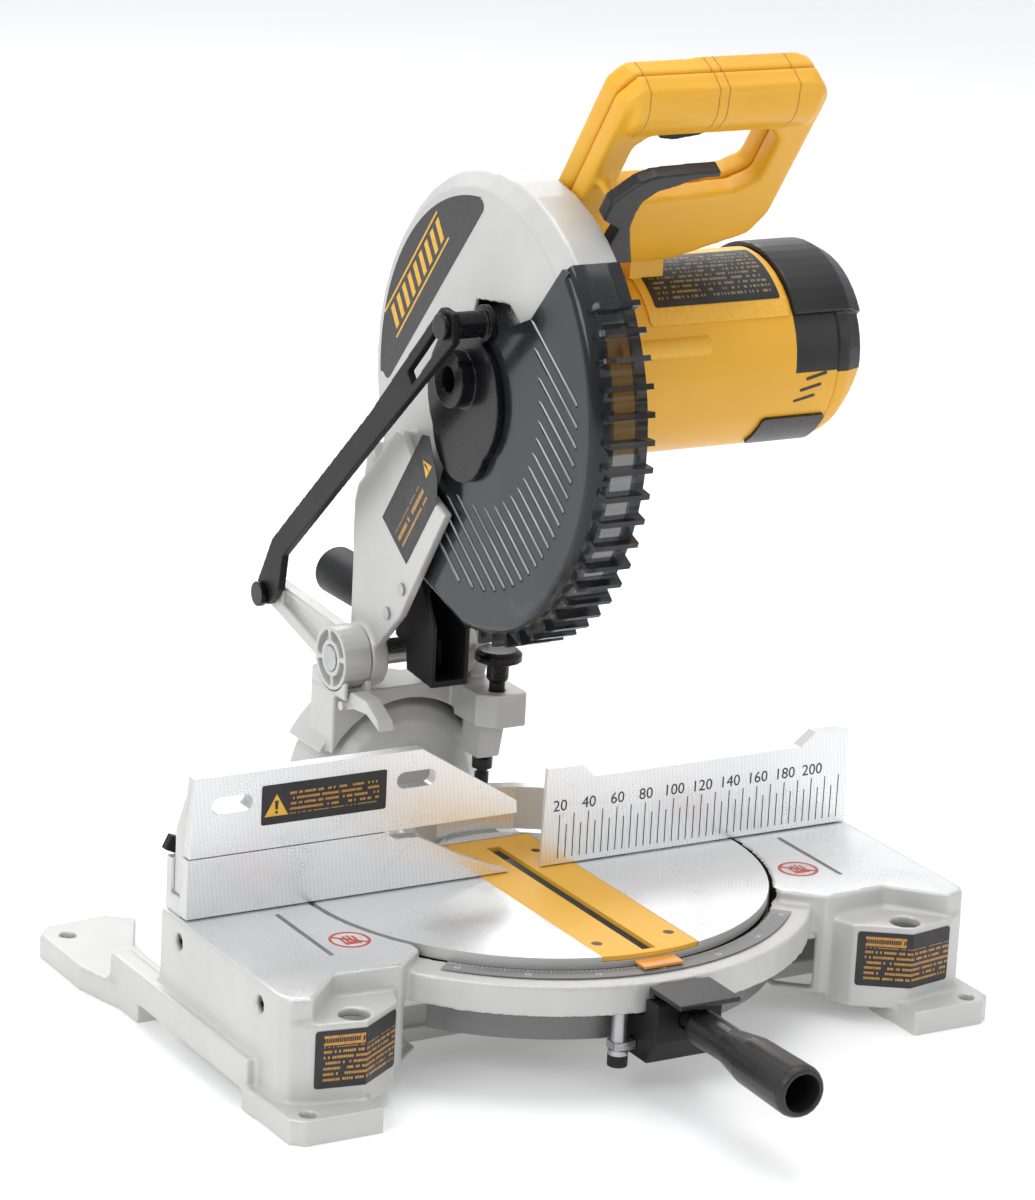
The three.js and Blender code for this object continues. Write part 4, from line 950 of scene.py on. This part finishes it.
def hand_sticker(name, side):
    """Round sticker on the wing: a plain hand in a struck-out ring."""
    centre = Vector((side * 152.5, -61, TABLE - SINK))
    face = centre + UP_Z * STICKER_T
    bm = bmesh.new()
    plate(bm, arc(0, 0, 12.5, 0, 352.5, 47), centre, ALONG_X, ALONG_Y, STICKER_T)
    lathe(bm, [(10.4, 0), (10.4, PRINT_T), (12.2, PRINT_T), (12.2, 0), (10.4, 0)], face, UP_Z,
          ALONG_X, 48, 1)
    fingers = [(x, -2, tip) for x, tip in ((-4.5, 4), (-1.7, 6), (1.1, 6.4), (3.9, 5))]
    for x, low, high in fingers:
        plate(bm, [(x - 0.8, low), (x + 0.8, low), (x + 0.8, high), (x - 0.8, high)], face,
              ALONG_X, ALONG_Y, PRINT_T, 2)
    plate(bm, [(-5.4, -6.6), (4.8, -6.6), (5.2, -2.6), (-5.4, -2.6)], face, ALONG_X, ALONG_Y,
          PRINT_T, 2)
    plate(bm, [(-10.6, -0.8), (10.6, -0.8), (10.6, 0.8), (-10.6, 0.8)], face + UP_Z * PRINT_T,
          Vector((0.77, -0.64, 0)), Vector((0.64, 0.77, 0)), PRINT_T, 1)
    bmesh.ops.remove_doubles(bm, verts=bm.verts, dist=1e-6)
    to_object(bm, name, [STICKER, INK_RED, INK_RED], "base")


def set_screws():
    """Black socket screws deep in the side holes of the wings."""
    socket = [(0, -2.4), (1.8, -2.4), (1.8, 0), (3.8, 0), (4.4, -0.5), (4.4, -4), (0, -4)]
    for side, word in ((1, "right"), (-1, "left")):
        for number, y in enumerate((3.5, -99), 1):
            bm = bmesh.new()
            lathe(bm, socket, (side * 226.6, y, TABLE - 13), (side, 0, 0), (0, 1, 0), 24)
            to_object(bm, f"side_screw_{word}_{number}", [SATIN], "base")


def wing_grooves():
    """Painted shade: a dark strip along the groove in each wing, standing in for the shade in it.
    """
    for side, word in ((1, "right"), (-1, "left")):
        bm = bmesh.new()
        middle = Vector((side * 172.25, -43.5, TABLE - 0.05))
        half, length = 1.2, 34.5
        plate(bm, [(-length, -half), (length, -half), (length, half), (-length, half)], middle,
              ALONG_Y, -ALONG_X, 0.1)
        to_object(bm, f"wing_groove_{word}", [GROOVE_SHADE], "base")


def handle_radius(y):
    """Radius of the miter handle at y, from the widest points of its CAD solid."""
    widest = {}
    for vertex in NODES["miter_handle"].data.vertices:
        place = vertex.co / MM
        key = round(place.y, 1)
        widest[key] = max(widest.get(key, 0), math.hypot(place.x, place.z - HANDLE_AXIS_Z))
    stations = sorted(widest)
    low = max(k for k in stations if k <= y)
    high = min(k for k in stations if k >= y)
    share = (y - low) / (high - low) if high > low else 0
    return widest[low] + (widest[high] - widest[low]) * share


def grip_pads():
    """Three pairs of rows of small raised pads round the miter handle."""
    bm = bmesh.new()
    pad = [(-1.6, -1.3), (1.6, -1.3), (1.6, 1.3), (-1.6, 1.3)]
    sunk, thick, pitch, first = 0.9, 1.4, 5.2, -226
    for angle in (55, 80, 155, 180, 260, 285):
        a = math.radians(angle)
        out = Vector((math.cos(a), 0, math.sin(a)))
        for k in range(9):
            y = first - pitch * k
            foot = Vector((0, y, HANDLE_AXIS_Z)) + out * (handle_radius(y) - sunk)
            plate(bm, pad, foot, ALONG_Y, ALONG_Y.cross(out), thick)
    to_object(bm, "miter_handle_pads", [SATIN], "arm_handle")


wing_grooves()
grip_pads()
fence_scale()
miter_scale()
hand_sticker("hand_sticker_right", 1)
hand_sticker("hand_sticker_left", -1)
set_screws()

# ---------- camera, light and floor ----------
CAMERA_PLACE = Vector((-1288.3, -2129.9, 989.5)) * MM
YAW, PITCH, ROLL = (math.radians(a) for a in (30.83, 16.69, 3.01))
FOCAL_LENGTH = 133.33
FLOOR_HALF = 9.0
SKY_FRONT, SKY_TOP = 0.32, 0.9                  # brightness of the sky low in front, and above


def front_camera():
    camera = bpy.data.cameras.new("camera")
    camera.sensor_width = 36
    camera.lens = FOCAL_LENGTH
    camera.clip_start, camera.clip_end = 0.1, 50
    holder = bpy.data.objects.new("camera", camera)
    bpy.context.scene.collection.objects.link(holder)
    ahead = Vector((math.sin(YAW) * math.cos(PITCH), math.cos(YAW) * math.cos(PITCH),
                    -math.sin(PITCH)))
    level = Vector((math.cos(YAW), -math.sin(YAW), 0))
    above = level.cross(ahead)
    right = level * math.cos(ROLL) + above * math.sin(ROLL)
    up = above * math.cos(ROLL) - level * math.sin(ROLL)
    turn = Matrix((right, up, -ahead)).transposed().to_4x4()
    holder.matrix_world = Matrix.Translation(CAMERA_PLACE) @ turn
    bpy.context.scene.camera = holder


def softbox(name, place, target, size, power):
    light = bpy.data.lights.new(name, "AREA")
    light.shape = "RECTANGLE"
    light.size, light.size_y = size
    light.energy = power
    holder = bpy.data.objects.new(name, light)
    bpy.context.scene.collection.objects.link(holder)
    place = Vector(place)
    holder.location = place
    holder.rotation_mode = "QUATERNION"
    holder.rotation_quaternion = (Vector(target) - place).to_track_quat("-Z", "Y")


def sky(tree):
    """Brighter above and behind the saw than in front, so that tops read lighter than fronts."""
    background = tree.nodes["Background"]
    background.inputs["Color"].default_value = (0.97, 0.98, 1.0, 1)
    coordinates = tree.nodes.new("ShaderNodeTexCoord")
    lean = tree.nodes.new("ShaderNodeVectorMath")
    lean.operation = "DOT_PRODUCT"
    lean.inputs[1].default_value = (0, 0.6, 0.8)
    ramp = tree.nodes.new("ShaderNodeMapRange")
    for key, number in (("From Min", -0.4), ("From Max", 0.7), ("To Min", SKY_FRONT),
                        ("To Max", SKY_TOP)):
        ramp.inputs[key].default_value = number
    tree.links.new(coordinates.outputs["Generated"], lean.inputs[0])
    tree.links.new(lean.outputs["Value"], ramp.inputs["Value"])
    tree.links.new(ramp.outputs["Result"], background.inputs["Strength"])


def studio():
    """A pale paper floor, the sky and four softboxes."""
    bm = bmesh.new()
    bmesh.ops.create_grid(bm, x_segments=40, y_segments=40, size=FLOOR_HALF)
    mesh = bpy.data.meshes.new("floor")
    bm.to_mesh(mesh)
    bm.free()
    floor = bpy.data.objects.new("floor", mesh)
    bpy.context.scene.collection.objects.link(floor)
    s = Shade("floor_paper")
    tint = s.mix(s.remap(s.noise(900, 2), 0.3, 0.7, 0, 1), (0.86, 0.86, 0.86), (0.88, 0.88, 0.88))
    mesh.materials.append(s.set(Base_Color=tint, Roughness=0.9, Emission_Strength=0.2,
                                Emission_Color=(1.0, 1.0, 1.0),
                                Normal=s.bump(s.noise(2, 2), 0.01)))

    world = bpy.data.worlds.new("studio")
    bpy.context.scene.world = world
    world.use_nodes = True
    sky(world.node_tree)
    aim = (0, 0, 0.25)
    softbox("key", (-2.3, -0.9, 1.9), aim, (1.5, 1.1), 24)
    softbox("overhead", (0.2, 0.2, 2.6), aim, (1.6, 1.2), 20)
    softbox("fill", (2.0, -1.9, 1.1), aim, (1.4, 1.4), 7)
    softbox("rim", (0.6, 2.4, 1.8), aim, (2.0, 0.8), 20)
    bpy.context.scene.view_settings.view_transform = "Standard"


front_camera()
studio()
